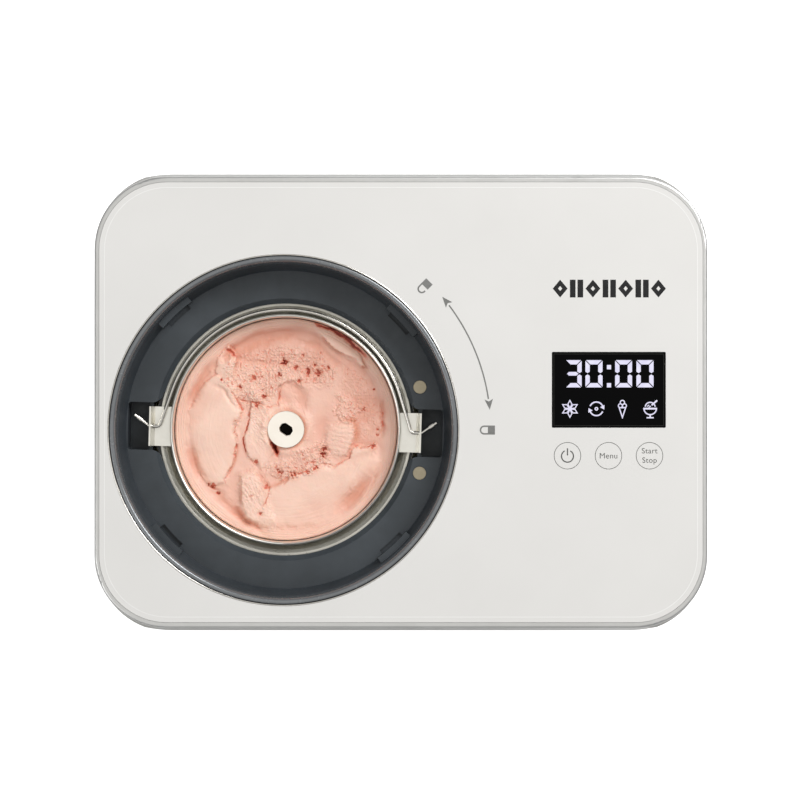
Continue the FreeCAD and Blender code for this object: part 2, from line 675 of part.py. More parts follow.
def bowl_ear(side):
    """Folded sheet ear: welded leg, level ledge, leaning outer lip with the handle's hole."""
    body = new_body(f"ear_{side}")
    at_well(body)
    extra = 180 if side == "left" else 0
    body.Placement.Rotation = FreeCAD.Rotation(UP, size("ear_turn") + extra)
    body.setExpression("Placement.Rotation.Angle", f"dims.ear_turn + {extra}")
    half = "(asin(ear_half / bowl_r) / 1 deg)"
    leg = outline(sketch(body, "XY_Plane", "ear_z - 8"), sector("bowl_r", "bowl_r + 0.8", half, "0"))
    pad(body, leg, "8.2")
    ledge = outline(sketch(body, "XY_Plane", "ear_z"), [
        (f"bowl_r * cos({half})", "-ear_half"), ("ear_out", "-ear_half"), ("ear_out", "ear_half"),
        (f"bowl_r * cos({half})", "ear_half", "-bowl_r"),
    ])
    pad(body, ledge, "ear_t")
    lean = "(ear_top - ear_z) * 0.34"
    lip = outline(sketch(body, "XZ_Plane"), [
        ("ear_out - ear_t", "ear_z"), ("ear_out", "ear_z"), (f"ear_out + {lean}", "ear_top"),
        (f"ear_out - ear_t + {lean}", "ear_top"),
    ])
    pad(body, lip, "2 * ear_half", midplane=True)
    hole = round_hole(sketch(body, "YZ_Plane", "ear_out - 4"), "0", "pivot_z", "ear_hole_r", "hole")
    pocket(body, hole, "8", reverse=True)
    return body


def bail_handle():
    """Wire bail: a half circle behind the rim, ends bent out through the ears, pinched tips."""
    arc_r = size("bail_r")
    inner = size("ear_out") - 3.6
    touch = math.acos(arc_r / inner)
    foot = V(arc_r * math.cos(touch), arc_r * math.sin(touch), 0)
    bend, elbow = V(inner, 0, 0), V(size("ear_out") + 2.6, 0, 0)
    tip = elbow + V(9.0, 6.3, 0)
    right = rounded_path([tip, elbow, bend, foot], 2.6)
    mirrored = [V(-p.x, p.y, 0) for p in (foot, bend, elbow, tip)]
    left = rounded_path(mirrored, 2.6)
    back = Part.Arc(foot, V(0, arc_r, 0), mirrored[0]).toShape()
    path = Part.Wire(right.OrderedEdges + [back] + left.OrderedEdges)
    shape = tube_along(path, size("wire_r"), elbow - tip)
    for end, root in ((tip, elbow), (mirrored[3], mirrored[2])):
        out = (end - root).normalize()
        pinch = Part.makeCylinder(1.85, 3.4, end - out * 5, out)
        knob = Part.makeCylinder(1.35, 1.2, end - out * 0.6, out)
        shape = shape.fuse([pinch, knob])
    turn = FreeCAD.Rotation(UP, size("ear_turn"))
    place = FreeCAD.Placement(V(size("well_x"), size("well_y"), size("pivot_z")), turn)
    feature("bail_handle", shape.removeSplitter(), place)


def hub_solid():
    """The drive hub's round body, on top of the paddle's stem."""
    return Part.makeCylinder(size("hub_r"), size("hub_h"), V(0, 0, size("hub_top - hub_h")))


def paddle_solid():
    """Stem and two framed blades about the Z axis, before the bore is cut."""
    top, low = size("hub_top"), size("paddle_z")
    reach, thick = size("blade_r"), size("blade_t")
    shape = Part.makeCylinder(size("stem_r"), top - low, V(0, 0, low))
    for side in (-1, 1):
        frame = Part.makeBox(reach - 4, thick, 74, V(4, -thick / 2, low))
        window = Part.makeBox(reach - 26, thick, 46, V(15, -thick / 2, low + 13))
        blade = frame.cut(window)
        blade.rotate(V(0, 0, 0), UP, 90 - 90 * side)
        shape = shape.fuse(blade)
    return shape.cut(hub_solid())


def drive_socket():
    """Oblong drive socket with cut corners, open at the hub's top."""
    x, y, cutoff = size("socket_l / 2"), size("socket_w / 2"), size("socket_cut")
    points = [V(-x, -y + cutoff, 0), V(-x + cutoff, -y, 0), V(x - cutoff, -y, 0), V(x, -y + cutoff, 0),
              V(x, y - cutoff, 0), V(x - cutoff, y, 0), V(-x + cutoff, y, 0), V(-x, y - cutoff, 0)]
    socket = Part.Face(Part.makePolygon(points + points[:1])).extrude(V(0, 0, size("socket_deep + 1")))
    socket.rotate(V(0, 0, 0), UP, size("socket_turn"))
    socket.translate(V(0, 0, size("hub_top - socket_deep")))
    return socket


def ice_cream_block():
    """Round block of ice cream with a slightly crowned top."""
    low, top, reach = size("paddle_z"), size("ice_top"), size("ice_r")
    profile = [V(0, 0, low), V(reach - 5, 0, low), V(reach, 0, low + 5), V(reach, 0, top - 4),
               V(reach - 3, 0, top - 1.5), V(40, 0, top), V(20, 0, top + 0.8), V(0, 0, top + 0.8)]
    return Part.Face(Part.makePolygon(profile + profile[:1])).revolve(V(0, 0, 0), UP, 360)


def paddle_and_ice_cream():
    """The paddle on its bowl pin, its drive hub, and the ice cream that fills the bowl round them."""
    solid, hub = paddle_solid(), hub_solid()
    low = size("paddle_z")
    bore = Part.makeCylinder(size("pin_r") + 0.07, size("pin_top") + 0.6 - low, V(0, 0, low))
    place = FreeCAD.Placement(V(size("well_x"), size("well_y"), 0), FreeCAD.Rotation(UP, 20))
    feature("paddle", solid.cut(bore).removeSplitter(), place)
    feature("paddle_hub", hub.cut(drive_socket()), place)
    feature("ice_cream", ice_cream_block().cut(solid).cut(hub), place)


# ---------------------------------------------------------------- machinery

def compressor():
    """Sealed steel can with pipe stubs, motor block, mounting plate, cap, grommets and studs."""
    body = new_body("compressor_shell")
    body.setExpression("Placement.Base.x", "dims.comp_x")
    body.setExpression("Placement.Base.y", "dims.comp_y")
    turned(body, [
        ("0", "comp_z"), ("comp_r - 9", "comp_z"), ("comp_r", "comp_z + 12"), ("comp_r", "comp_z + 60"),
        ("comp_r + 2", "comp_z + 60"), ("comp_r + 2", "comp_z + 64"), ("comp_r", "comp_z + 64"),
        ("comp_r", "comp_top - 24"), ("comp_r - 8", "comp_top - 8"), ("comp_r - 24", "comp_top"),
        ("0", "comp_top"),
    ])
    turned(body, [
        ("0", "comp_z + 2.5"), ("comp_r - 10", "comp_z + 2.5"), ("comp_r - 2.5", "comp_z + 13"),
        ("comp_r - 2.5", "comp_top - 25"), ("comp_r - 10", "comp_top - 10.5"),
        ("comp_r - 25", "comp_top - 2.5"), ("0", "comp_top - 2.5"),
    ], cut=True)
    stubs = sketch(body, "XY_Plane", "comp_top - 14")
    for i, y in enumerate((20, -20)):
        round_hole(stubs, "-36", str(y), "line_r", f"stub{i}")
    pad(body, stubs, "21")
    rod("compressor_motor", "comp_r - 16", "76", "comp_x", "comp_y", "comp_z + 2.5")
    plate = block("plate", "2 * grommet_dx + 24", "2 * grommet_dy + 24", "3",
                  "comp_x - grommet_dx - 12", "comp_y - grommet_dy - 12", "comp_z - 3")
    holes, rubbers, bores, studs = [], [], [], []
    low = "(shell_z + base_t)"
    for dx, dy in corners(1, 1):
        x, y = f"comp_x + {dx} * grommet_dx", f"comp_y + {dy} * grommet_dy"
        holes.append(rod("hole", "6.1", "6", x, y, "comp_z - 4"))
        rubbers.append(rod("rubber_low", "9", f"comp_z - 3.1 - {low}", x, y, low))
        rubbers.append(rod("rubber_neck", "6", f"comp_z + 3 - {low}", x, y, low))
        rubbers.append(rod("rubber_cap", "8", "2.4", x, y, "comp_z + 0.1"))
        bores.append(rod("bore", "3.1", "30", x, y, low))
        studs.append(rod("stud", "3", f"comp_z + 10 - {low}", x, y, low))
        studs.append(rod("nut", "5.2", "4.6", x, y, "comp_z + 3.1"))
    cut("compressor_base", plate, fuse("plate_holes", holes))
    cut("compressor_grommets", fuse("rubbers", rubbers), fuse("rubber_bores", bores))
    fuse("compressor_bolts", studs)
    block("compressor_cap", "14", "40", "44", "comp_x + comp_r + 0.4", "comp_y - 20", "comp_z + 8")


def condenser():
    """Serpentine copper tube through a stack of aluminium fins on two end plates."""
    x0, y0, count = size("cond_x"), size("cond_y"), int(size("run_count"))
    width, pitch, low = size("cond_w"), size("run_pitch"), size("cond_z") + 8
    levels = [low + pitch * i for i in range(count)]
    far, near = x0 + width + 7, x0 - 7
    points = [V(near - 6, y0, levels[-1])]
    for i, z in enumerate(reversed(levels)):
        points.append(V(far + pitch / 2 if i % 2 == 0 else near - pitch / 2, y0, z))
        if i < count - 1:
            points.append(V(points[-1].x, y0, z - pitch))
    points[-1] = V(x0 - 28, y0, levels[0])
    points.append(V(x0 - 28, y0, levels[0] + 10))
    coil = tube_along(rounded_path(points, pitch / 2 - 0.01), 3, V(1, 0, 0))
    feature("condenser_coil", coil)
    depth, rise = size("cond_t"), size("cond_rise")
    holes = [Part.makeCylinder(3.05, 4, V(-1, 0, z), V(1, 0, 0)) for z in levels]
    fins = []
    step = (width - size("fin_t")) / (size("fin_count") - 1)
    for i in range(int(size("fin_count"))):
        end = i in (0, size("fin_count") - 1)
        bottom = size("shell_z + base_t") if end else size("cond_z")
        top = size("cond_z") + rise
        fin = Part.makeBox(size("fin_t"), depth, top - bottom, V(0, -depth / 2, bottom)).cut(holes)
        fin.translate(V(x0 + i * step, y0, 0))
        fins.append(fin)
    feature("condenser_fins", Part.makeCompound(fins))


def fan_frame():
    """Square fan frame with four struts to the bearing hub, on two feet."""
    side, deep, hub = size("fan_side"), size("fan_t"), size("fan_hub_r")
    x, y, z = size("fan_x"), size("fan_y"), size("fan_z")
    along = V(0, 1, 0)
    frame = Part.makeBox(side, deep, side, V(x - side / 2, y, z - side / 2))
    opening = Part.makeCylinder(size("fan_open_r"), deep, V(x, y, z), along)
    frame = frame.cut(opening)
    pieces = [Part.makeCylinder(hub, 5, V(x, y, z), along)]
    for i in range(4):
        strut = Part.makeBox(30, 4, 4, V(10, 0, -2))
        strut.rotate(V(0, 0, 0), along, 45 + 90 * i)
        strut.translate(V(x, y, z))
        pieces.append(strut)
    for dx in (-side / 2, side / 2 - 12):
        floor = size("shell_z + base_t")
        pieces.append(Part.makeBox(12, deep, z - side / 2 - floor, V(x + dx, y, floor)))
    frame = frame.fuse(pieces)
    bearing = Part.makeCylinder(1.55, 9, V(x, y - 1, z), along)
    feature("fan_frame", frame.cut(bearing).removeSplitter())


def fan_rotor():
    """Hub cap with seven pitched blades and a short shaft."""
    x, y, z = size("fan_x"), size("fan_y"), size("fan_z")
    along = V(0, 1, 0)
    tip, hub = size("fan_tip_r"), size("fan_hub_r")
    cap = Part.makeCylinder(hub, 17, V(0, 6, 0), along)
    shaft = Part.makeCylinder(1.5, 7, V(0, 0.5, 0), along)
    annulus = Part.makeCylinder(tip, 16, V(0, 6.5, 0), along)
    blades = []
    for i in range(7):
        blade = Part.makeBox(tip, 26, 1.4, V(hub - 3, -13, -0.7))
        blade.rotate(V(0, 0, 0), V(1, 0, 0), 52)
        blade.translate(V(0, 14.5, 0))
        blade.rotate(V(0, 0, 0), along, 360 / 7 * i)
        blades.append(blade.common(annulus))
    rotor = cap.fuse(blades + [shaft]).removeSplitter()
    feature("fan_rotor", rotor, FreeCAD.Placement(V(x, y, z), FreeCAD.Rotation()))


def refrigerant_lines():
    """Drier, capillary, discharge and suction lines between the compressor, condenser and coil."""
    r = size("line_r")
    dry_x, dry_y = size("cond_x") - 28, size("cond_y")
    low = size("cond_z") + 18
    drier = Part.makeCylinder(8, 40, V(dry_x, dry_y, low + 8))
    drier = drier.fuse([Part.makeCone(3, 8, 8, V(dry_x, dry_y, low)),
                        Part.makeCone(8, 3, 8, V(dry_x, dry_y, low + 48))])
    feature("filter_drier", drier.removeSplitter())
    stub_x, stub_top = size("comp_x") - 36, size("comp_top") + 7
    high = 171
    inlet = V(size("cond_x") - 13, dry_y, size("cond_z") + 8 + size("run_pitch") * 5)
    rear = size("comp_y") + 20
    points = [V(stub_x, rear, stub_top), V(stub_x, rear, high), V(stub_x, 44, high),
              V(inlet.x - 8, 60, high),
              V(inlet.x - 8, dry_y - 6, high), V(inlet.x - 8, dry_y, high - 14),
              V(inlet.x - 8, dry_y, inlet.z), inlet]
    feature("discharge_line", tube_along(rounded_path(points, 5), r, UP))
    coil_x = size("well_x + cup_r + cup_t + coil_tube_r") + 0.1
    front = size("comp_y") - 20
    start = V(coil_x, size("well_y"), size("coil_z"))
    points = [start, V(coil_x, -108, start.z), V(34, -112, start.z), V(34, -112, high),
              V(stub_x, front, high), V(stub_x, front, stub_top)]
    feature("suction_line", tube_along(rounded_path(points, 6), r, V(0, -1, 0)))
    top = start.z + size("coil_rise")
    neck = low + 56
    points = [V(dry_x, dry_y, neck), V(dry_x, dry_y, neck + 26), V(coil_x, dry_y - 14, top),
              V(coil_x, size("well_y"), top)]
    feature("capillary_tube", tube_along(rounded_path(points, 4), size("capillary_r"), UP))


def wiring_harness():
    """Sleeved wires from the power board over the machinery to the control board."""
    high = size("harness_z")
    points = [V(-80, 111.2, 96.1), V(-80, 111.2, high), V(-20, 104, high), V(60, 66, high),
              V(110, 12, high), V(110, 12, size("board_top - board_t - 0.1"))]
    feature("wiring_harness", tube_along(rounded_path(points, 2.9), 2.2, UP))


def boards():
    """Control board, display module, touch springs, and the power board with its parts."""
    block("control_board", "92", "98", "board_t", "button_x - 46", "board_y - 49", "board_top - board_t")
    block("display_module", "lens_w - 5", "lens_d - 5", "floor_z - board_top - 0.2",
          "lens_x - (lens_w - 5) / 2", "lens_y - (lens_d - 5) / 2", "board_top")
    springs = []
    for i in (-1, 0, 1):
        x = f"button_x + {i} * button_pitch"
        springs.append(rod("spring", "4", "floor_z - board_top", x, "button_y", "board_top"))
    fuse("touch_springs", springs)
    screws = []
    for dx, dy in corners(39, 42):
        x, y = f"button_x + {dx}", f"board_y + {dy}"
        screws.append(rod("head", "2.4", "1.6", x, y, "board_top - board_t - 1.6"))
    fuse("board_screws", screws)
    plate = block("bracket_wall", "104", "1.6", "88", "-156", "118", "shell_z + base_t")
    foot = block("bracket_foot", "104", "12", "1.6", "-156", "106", "shell_z + base_t")
    posts = []
    for dx, dz in corners(42, 30):
        posts.append(rod("post", "3", "6", f"-104 + {dx}", "112", f"60 + {dz}", V(0, 1, 0)))
    fuse("board_bracket", [plate, foot] + posts)
    block("power_board", "96", "1.6", "72", "-152", "110.4", "24")
    block("power_transformer", "30", "22", "26", "-146", "88.4", "62")
    block("power_relay", "20", "15", "16", "-104", "95.4", "70")
    cans = [rod("can", "8", "26", f"{x}", "84.4", "42", V(0, 1, 0)) for x in (-90, -70)]
    fuse("power_capacitors", cans)


# ---------------------------------------------------------------- base

def base_plate():
    """Bottom cover with foot bosses, screw holes and cooling slots."""
    body = new_body("base_plate")
    width = "body_w - 2 * skirt_inset - 2 * shell_wall - 0.6"
    depth = "body_d - 2 * skirt_inset - 2 * shell_wall - 0.6"
    plan = rounded(width, depth, "skirt_r - shell_wall - 0.3")
    plate = outline(sketch(body, "XY_Plane", "shell_z"), plan)
    pad(body, plate, "base_t")
    bosses = sketch(body, "XY_Plane", "shell_z + base_t")
    holes = sketch(body, "XY_Plane", "shell_z")
    for i, (sx, sy) in enumerate(corners(1, 1)):
        round_hole(bosses, f"{sx} * foot_x", f"{sy} * foot_y", "5", f"boss{i}")
        round_hole(holes, f"{sx} * foot_x", f"{sy} * foot_y", "1.9", f"pilot{i}")
        round_hole(holes, f"{sx} * post_x", f"{sy} * post_y", "2", f"screw{i}")
    pad(body, bosses, "8")
    pocket(body, holes, "base_t + 8", reverse=True)
    slot = outline(sketch(body, "XY_Plane", "shell_z"), rounded("60", "4", "1.99", "fan_x", "20"))
    ladder(body, pocket(body, slot, "base_t", reverse=True), "Y_Axis", "8", "5")
    return body


def foot(end, sx, sy):
    """Rubber foot with a countersunk hole for its screw."""
    x, y = f"{sx} * foot_x", f"{sy} * foot_y"
    pads = [rod("foot_pad", "foot_r", "shell_z", x, y, "0")]
    well = rod("well", "5", "4", x, y, "0")
    way = rod("way", "2.1", "shell_z", x, y, "0")
    inside = fuse("foot_inside", [well, way])
    return cut(f"foot_{end}", pads[0], inside)


def fasteners():
    """Foot screws and the screws that hold the base to the housing's posts."""
    foot_set, base_set = [], []
    for sx, sy in corners(1, 1):
        x, y = f"{sx} * foot_x", f"{sy} * foot_y"
        foot_set.append(rod("head", "4", "2", x, y, "2"))
        foot_set.append(rod("shank", "1.85", "14", x, y, "4"))
        x, y = f"{sx} * post_x", f"{sy} * post_y"
        base_set.append(rod("head", "3.6", "2", x, y, "shell_z - 2"))
        base_set.append(rod("shank", "1.55", "20", x, y, "shell_z"))
    fuse("foot_screws", foot_set)
    fuse("base_screws", base_set)


def cord_gland():
    """Bushing in the back wall for the mains lead."""
    along = V(0, 1, 0)
    wall = "(body_d / 2 - skirt_inset)"
    flange = rod("gland_flange", "10", "1.8", "gland_x", f"{wall} + 0.9", "gland_z", along)
    neck = rod("gland_neck", "6.8", "8", "gland_x", f"{wall} - 6", "gland_z", along)
    nut = rod("gland_nut", "9.4", "6", "gland_x", f"{wall} - 9.2", "gland_z", along)
    bore = rod("gland_bore", "gland_bore", "20", "gland_x", f"{wall} - 12", "gland_z", along)
    return cut("cord_gland", fuse("gland_solid", [flange, neck, nut]), bore)


# ---------------------------------------------------------------- build and write

housing_shell()
top_cover()
top_panel()
display_lens()
trim_ring()
collar()
collar_seal()
collar_screws()
contact("rear")
contact("front")
cooling_cup()
evaporator_coil()
foam_insulation()
foam_bucket()
cup_sensor()
bowl()
bowl_pivot_pin()
bowl_ear("left")
bowl_ear("right")
bail_handle()
paddle_and_ice_cream()
compressor()
condenser()
fan_frame()
fan_rotor()
refrigerant_lines()
wiring_harness()
boards()
base_plate()
foot("front_left", -1, -1)
foot("front_right", 1, -1)
foot("rear_left", -1, 1)
foot("rear_right", 1, 1)
fasteners()
cord_gland()
doc.recompute()

NODES = [
    "housing_shell", "top_cover", "top_panel", "display_lens", "trim_ring", "collar", "collar_seal",
    "collar_screws", "contact_pin_rear", "contact_pin_front", "contact_holder_rear", "contact_holder_front",
    "contact_spring_rear", "contact_spring_front", "cooling_cup", "evaporator_coil", "foam_insulation",
    "foam_bucket", "cup_sensor", "bowl", "bowl_pivot_pin", "ear_left", "ear_right", "bail_handle",
    "paddle", "paddle_hub", "ice_cream", "compressor_shell", "compressor_motor", "compressor_base",
    "compressor_grommets", "compressor_bolts", "compressor_cap", "condenser_coil", "condenser_fins",
    "fan_frame", "fan_rotor", "filter_drier", "discharge_line", "suction_line", "capillary_tube",
    "wiring_harness", "control_board", "display_module", "touch_springs", "board_screws",
    "board_bracket", "power_board", "power_transformer", "power_relay", "power_capacitors",
    "base_plate", "foot_front_left", "foot_front_right", "foot_rear_left", "foot_rear_right",
    "foot_screws", "base_screws", "cord_gland",
]

for item in doc.Objects:
    if "Invalid" in item.State or "Error" in item.State:
        raise RuntimeError(f"{item.Label} failed: {item.State}")
for node in NODES:
    piece = doc.getObjectsByLabel(node)[0]
    if piece.Shape.isNull() or not piece.Shape.isValid():
        raise RuntimeError(f"{node} has no valid shape")
    piece.Shape.exportStep(f"parts/{node}.step")
    print(node, round(piece.Shape.Volume), len(piece.Shape.Solids))
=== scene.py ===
import bpy
import bmesh
import json
import math
import numpy as np
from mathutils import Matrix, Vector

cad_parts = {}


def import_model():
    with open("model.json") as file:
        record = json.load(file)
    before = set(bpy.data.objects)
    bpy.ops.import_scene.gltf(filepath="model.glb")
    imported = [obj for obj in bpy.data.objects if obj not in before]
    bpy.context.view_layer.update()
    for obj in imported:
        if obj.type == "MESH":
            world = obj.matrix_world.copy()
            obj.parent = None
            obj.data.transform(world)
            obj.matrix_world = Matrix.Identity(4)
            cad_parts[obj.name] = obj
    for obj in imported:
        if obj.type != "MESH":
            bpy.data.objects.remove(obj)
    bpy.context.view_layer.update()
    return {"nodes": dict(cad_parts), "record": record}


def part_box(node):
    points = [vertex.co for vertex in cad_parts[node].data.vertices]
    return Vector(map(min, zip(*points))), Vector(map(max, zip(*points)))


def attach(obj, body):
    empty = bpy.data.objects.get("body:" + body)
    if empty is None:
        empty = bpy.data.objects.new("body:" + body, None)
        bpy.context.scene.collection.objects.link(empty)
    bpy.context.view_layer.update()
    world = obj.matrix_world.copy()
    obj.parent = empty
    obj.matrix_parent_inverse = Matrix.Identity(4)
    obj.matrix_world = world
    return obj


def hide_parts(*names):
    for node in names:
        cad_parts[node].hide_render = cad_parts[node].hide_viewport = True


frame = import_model()

MM = 0.001
WELL = (-72.8, -17.2)          # mm, the axis of the cold well
GLASS_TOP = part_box("top_panel")[1].z / MM
LENS_LOW, LENS_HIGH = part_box("display_lens")
INK_GAP = 0.005                # mm, air between the glass and the ink film on it
LAYER = 0.002                  # mm, from one printed piece to the one that overlaps it


# ------------------------------------------------------------------ node materials

class Nodes:
    """Short hand for building one material's node tree."""

    def __init__(self, name):
        self.material = bpy.data.materials.new(name)
        self.material.use_nodes = True
        self.tree = self.material.node_tree
        self.tree.nodes.clear()
        self.shader = self.add("ShaderNodeBsdfPrincipled")
        output = self.add("ShaderNodeOutputMaterial")
        self.link(self.shader.outputs["BSDF"], output.inputs["Surface"])
        self.place = self.add("ShaderNodeTexCoord").outputs["Object"]

    def add(self, kind, **settings):
        node = self.tree.nodes.new(kind)
        for key, value in settings.items():
            setattr(node, key, value)
        return node

    def link(self, start, end):
        self.tree.links.new(start, end)

    def set(self, **values):
        """Shader sockets by name, with spaces written as underscores."""
        for key, value in values.items():
            self.shader.inputs[key.replace("_", " ")].default_value = value

    def stretched(self, scale):
        node = self.add("ShaderNodeMapping")
        node.inputs["Scale"].default_value = scale
        self.link(self.place, node.inputs["Vector"])
        return node.outputs["Vector"]

    def noise(self, scale, detail=4.0, rough=0.55, stretch=None, distortion=0.0):
        node = self.add("ShaderNodeTexNoise")
        node.inputs["Scale"].default_value = scale
        node.inputs["Detail"].default_value = detail
        node.inputs["Roughness"].default_value = rough
        node.inputs["Distortion"].default_value = distortion
        self.link(self.stretched(stretch) if stretch else self.place, node.inputs["Vector"])
        return node.outputs["Fac"]

    def spots(self, scale):
        node = self.add("ShaderNodeTexVoronoi")
        node.inputs["Scale"].default_value = scale
        self.link(self.place, node.inputs["Vector"])
        return node.outputs["Distance"]

    def spread(self, value, low, high, to_low=0.0, to_high=1.0):
        node = self.add("ShaderNodeMapRange")
        node.clamp = True
        ends = {"From Min": low, "From Max": high, "To Min": to_low, "To Max": to_high}
        for key, number in ends.items():
            node.inputs[key].default_value = number
        self.link(value, node.inputs["Value"])
        return node.outputs["Result"]

    def math(self, operation, a, b):
        node = self.add("ShaderNodeMath", operation=operation)
        for socket, value in zip(node.inputs, (a, b)):
            if isinstance(value, (int, float)):
                socket.default_value = value
            else:
                self.link(value, socket)
        return node.outputs[0]

    def mix(self, factor, a, b):
        """Colour a where factor is 0 and b where it is 1."""
        node = self.add("ShaderNodeMix", data_type="RGBA")
        for socket, value in ((node.inputs[0], factor), (node.inputs[6], a), (node.inputs[7], b)):
            if isinstance(value, tuple):
                socket.default_value = (*value, 1.0)
            elif isinstance(value, (int, float)):
                socket.default_value = value
            else:
                self.link(value, socket)
        return node.outputs[2]

    def colour(self, value):
        self.link(value, self.shader.inputs["Base Color"])

    def roughness(self, value):
        self.link(value, self.shader.inputs["Roughness"])

    def bump(self, height, strength, distance):
        node = self.add("ShaderNodeBump")
        node.inputs["Strength"].default_value = strength
        node.inputs["Distance"].default_value = distance
        self.link(height, node.inputs["Height"])
        self.link(node.outputs["Normal"], self.shader.inputs["Normal"])


def plastic(name, dark, light, rough, grain=900.0, grain_depth=0.00003, wear=0.25, specular=0.5):
    """Moulded plastic, rubber or paint: mottled colour, fine mould grain, rubbed edges."""
    n = Nodes(name)
    mottle = n.spread(n.noise(38.0, 5.0), 0.35, 0.65)
    edge = n.spread(n.add("ShaderNodeNewGeometry").outputs["Pointiness"], 0.52, 0.62, 0.0, wear)
    pale = tuple(min(1.0, c * 1.5 + 0.03) for c in light)
    n.colour(n.mix(edge, n.mix(mottle, dark, light), pale))
    n.roughness(n.spread(n.noise(140.0, 6.0, 0.65), 0.3, 0.7, rough[0], rough[1]))
    n.bump(n.noise(grain, 3.0), 0.35, grain_depth)
    n.set(Specular_IOR_Level=specular)
    return n.material


def metal(name, dark, light, rough, stretch=(1.0, 1.0, 1.0), grain=600.0, grain_depth=0.00001,
          smear=0.0, anisotropic=0.0, metallic=1.0):
    """Bare or plated metal: drawn or brushed grain, faint smears and a tarnish that varies."""
    n = Nodes(name)
    tarnish = n.spread(n.noise(55.0, 6.0, 0.6, distortion=0.4), 0.3, 0.7)
    brushing = n.noise(grain, 2.0, 0.6, stretch)
    tone = n.math("ADD", n.math("MULTIPLY", tarnish, 0.6), n.math("MULTIPLY", brushing, 0.4))
    n.colour(n.mix(tone, dark, light))
    smears = n.spread(n.noise(24.0, 5.0, 0.6, distortion=1.2), 0.5, 0.75, 0.0, smear)
    n.roughness(n.math("ADD", n.spread(brushing, 0.3, 0.7, rough[0], rough[1]), smears))
    n.bump(brushing, 0.4, grain_depth)
    n.set(Metallic=metallic, Anisotropic=anisotropic)
    return n.material


def white_glass():
    """Clear glass printed white on its back: even tone, a clear polished top with faint wipe marks."""
    n = Nodes("white_glass")
    tone = n.spread(n.noise(16.0, 3.0), 0.3, 0.7)
    n.colour(n.mix(tone, (0.72, 0.71, 0.69), (0.745, 0.735, 0.715)))
    n.roughness(n.spread(n.noise(60.0, 6.0, 0.6, distortion=0.8), 0.35, 0.75, 0.34, 0.46))
    n.bump(n.noise(700.0, 2.0), 0.06, 0.00001)
    n.set(Coat_Weight=0.35, Coat_Roughness=0.06, Coat_IOR=1.5, Specular_IOR_Level=0.3)
    return n.material


def smoked_lens():
    """Black display window: deep gloss, hairline wipe scratches and a few specks of dust."""
    n = Nodes("smoked_lens")
    dust = n.spread(n.spots(900.0), 0.0, 0.035, 1.0, 0.0)
    n.colour(n.mix(n.math("MULTIPLY", dust, 0.5), (0.0012, 0.0012, 0.0014), (0.06, 0.06, 0.06)))
    n.roughness(n.spread(n.noise(90.0, 6.0, 0.7, (1.0, 9.0, 1.0)), 0.35, 0.75, 0.05, 0.16))
    n.bump(n.noise(800.0, 2.0, 0.5, (1.0, 14.0, 1.0)), 0.05, 0.000004)
    n.set(Specular_IOR_Level=0.05)
    return n.material


def printed_ink(name, dark, light):
    """Screen-printed ink: slightly uneven film with a matt surface."""
    n = Nodes(name)
    n.colour(n.mix(n.spread(n.noise(420.0, 5.0), 0.3, 0.7), dark, light))
    n.roughness(n.spread(n.noise(900.0, 3.0), 0.3, 0.7, 0.4, 0.6))
    n.bump(n.noise(2600.0, 2.0), 0.2, 0.000005)
    n.set(Specular_IOR_Level=0.25)
    return n.material


def lit_segment():
    """Lit display segment: bluish white with the soft fall-off of its light guide."""
    n = Nodes("lit_segment")
    glow = n.mix(n.spread(n.noise(190.0, 3.0), 0.3, 0.7), (0.72, 0.70, 0.92), (0.86, 0.84, 1.0))
    n.colour(n.mix(0.5, (0.02, 0.02, 0.02), (0.03, 0.03, 0.03)))
    n.link(glow, n.shader.inputs["Emission Color"])
    n.roughness(n.spread(n.noise(300.0, 2.0), 0.3, 0.7, 0.25, 0.4))
    n.bump(n.noise(1500.0, 2.0), 0.1, 0.000004)
    n.set(Emission_Strength=0.95)
    return n.material


def ice_cream_material():
    """Churned pink ice cream: painted shade, pit colour and crumb come from the sculpted mesh's own paint
    layer; its alpha is a tone lighter on raised ground, which is painted light.
    """
    n = Nodes("ice_cream")
    layer = n.add("ShaderNodeAttribute", attribute_name="ice_paint")
    paint = n.add("ShaderNodeSeparateColor")
    n.link(layer.outputs["Color"], paint.inputs["Color"])
    painted_shade, pit, crumb = paint.outputs
    # Tone: random noise plus the paint layer's alpha, which is lighter on raised ground, so partly painted
    # light.
    tone = n.math("ADD", n.math("MULTIPLY", n.noise(60.0, 5.0, 0.6), 0.45),
                  n.math("MULTIPLY", layer.outputs["Alpha"], 0.6))
    body = n.mix(n.spread(tone, 0.25, 0.85), (0.80, 0.44, 0.34), (0.92, 0.64, 0.52))
    fleck = n.spread(n.spots(750.0), 0.0, 0.3, 1.0, 0.0)
    body = n.mix(n.math("MULTIPLY", n.math("MULTIPLY", fleck, crumb), 0.5), body, (0.72, 0.24, 0.15))
    # Painted shade: the ice cream darkened to orange where shade falls in troughs, at slab feet and in gaps.
    shade = n.mix(painted_shade, body, (0.66, 0.265, 0.165))
    # Pit colour: red, deepening to near-black in the deepest pits and crack bottoms, where it is painted
    # shade.
    red = n.mix(n.spread(pit, 0.0, 0.5), shade, (0.70, 0.19, 0.12))
    n.colour(n.mix(n.spread(pit, 0.5, 1.0), red, (0.26, 0.025, 0.012)))
    n.roughness(n.spread(n.noise(220.0, 6.0, 0.6), 0.3, 0.7, 0.34, 0.54))
    smooth = n.noise(300.0, 5.0, 0.6)
    coarse = n.math("MULTIPLY", n.noise(850.0, 4.0, 0.6), crumb)
    relief = n.math("ADD", n.math("MULTIPLY", smooth, 0.3), n.math("MULTIPLY", coarse, 0.55))
    n.bump(relief, 0.8, 0.0009)
    n.set(Subsurface_Weight=0.18, Subsurface_Scale=0.004, Subsurface_Radius=(1.0, 0.35, 0.2),
          Specular_IOR_Level=0.42)
    return n.material


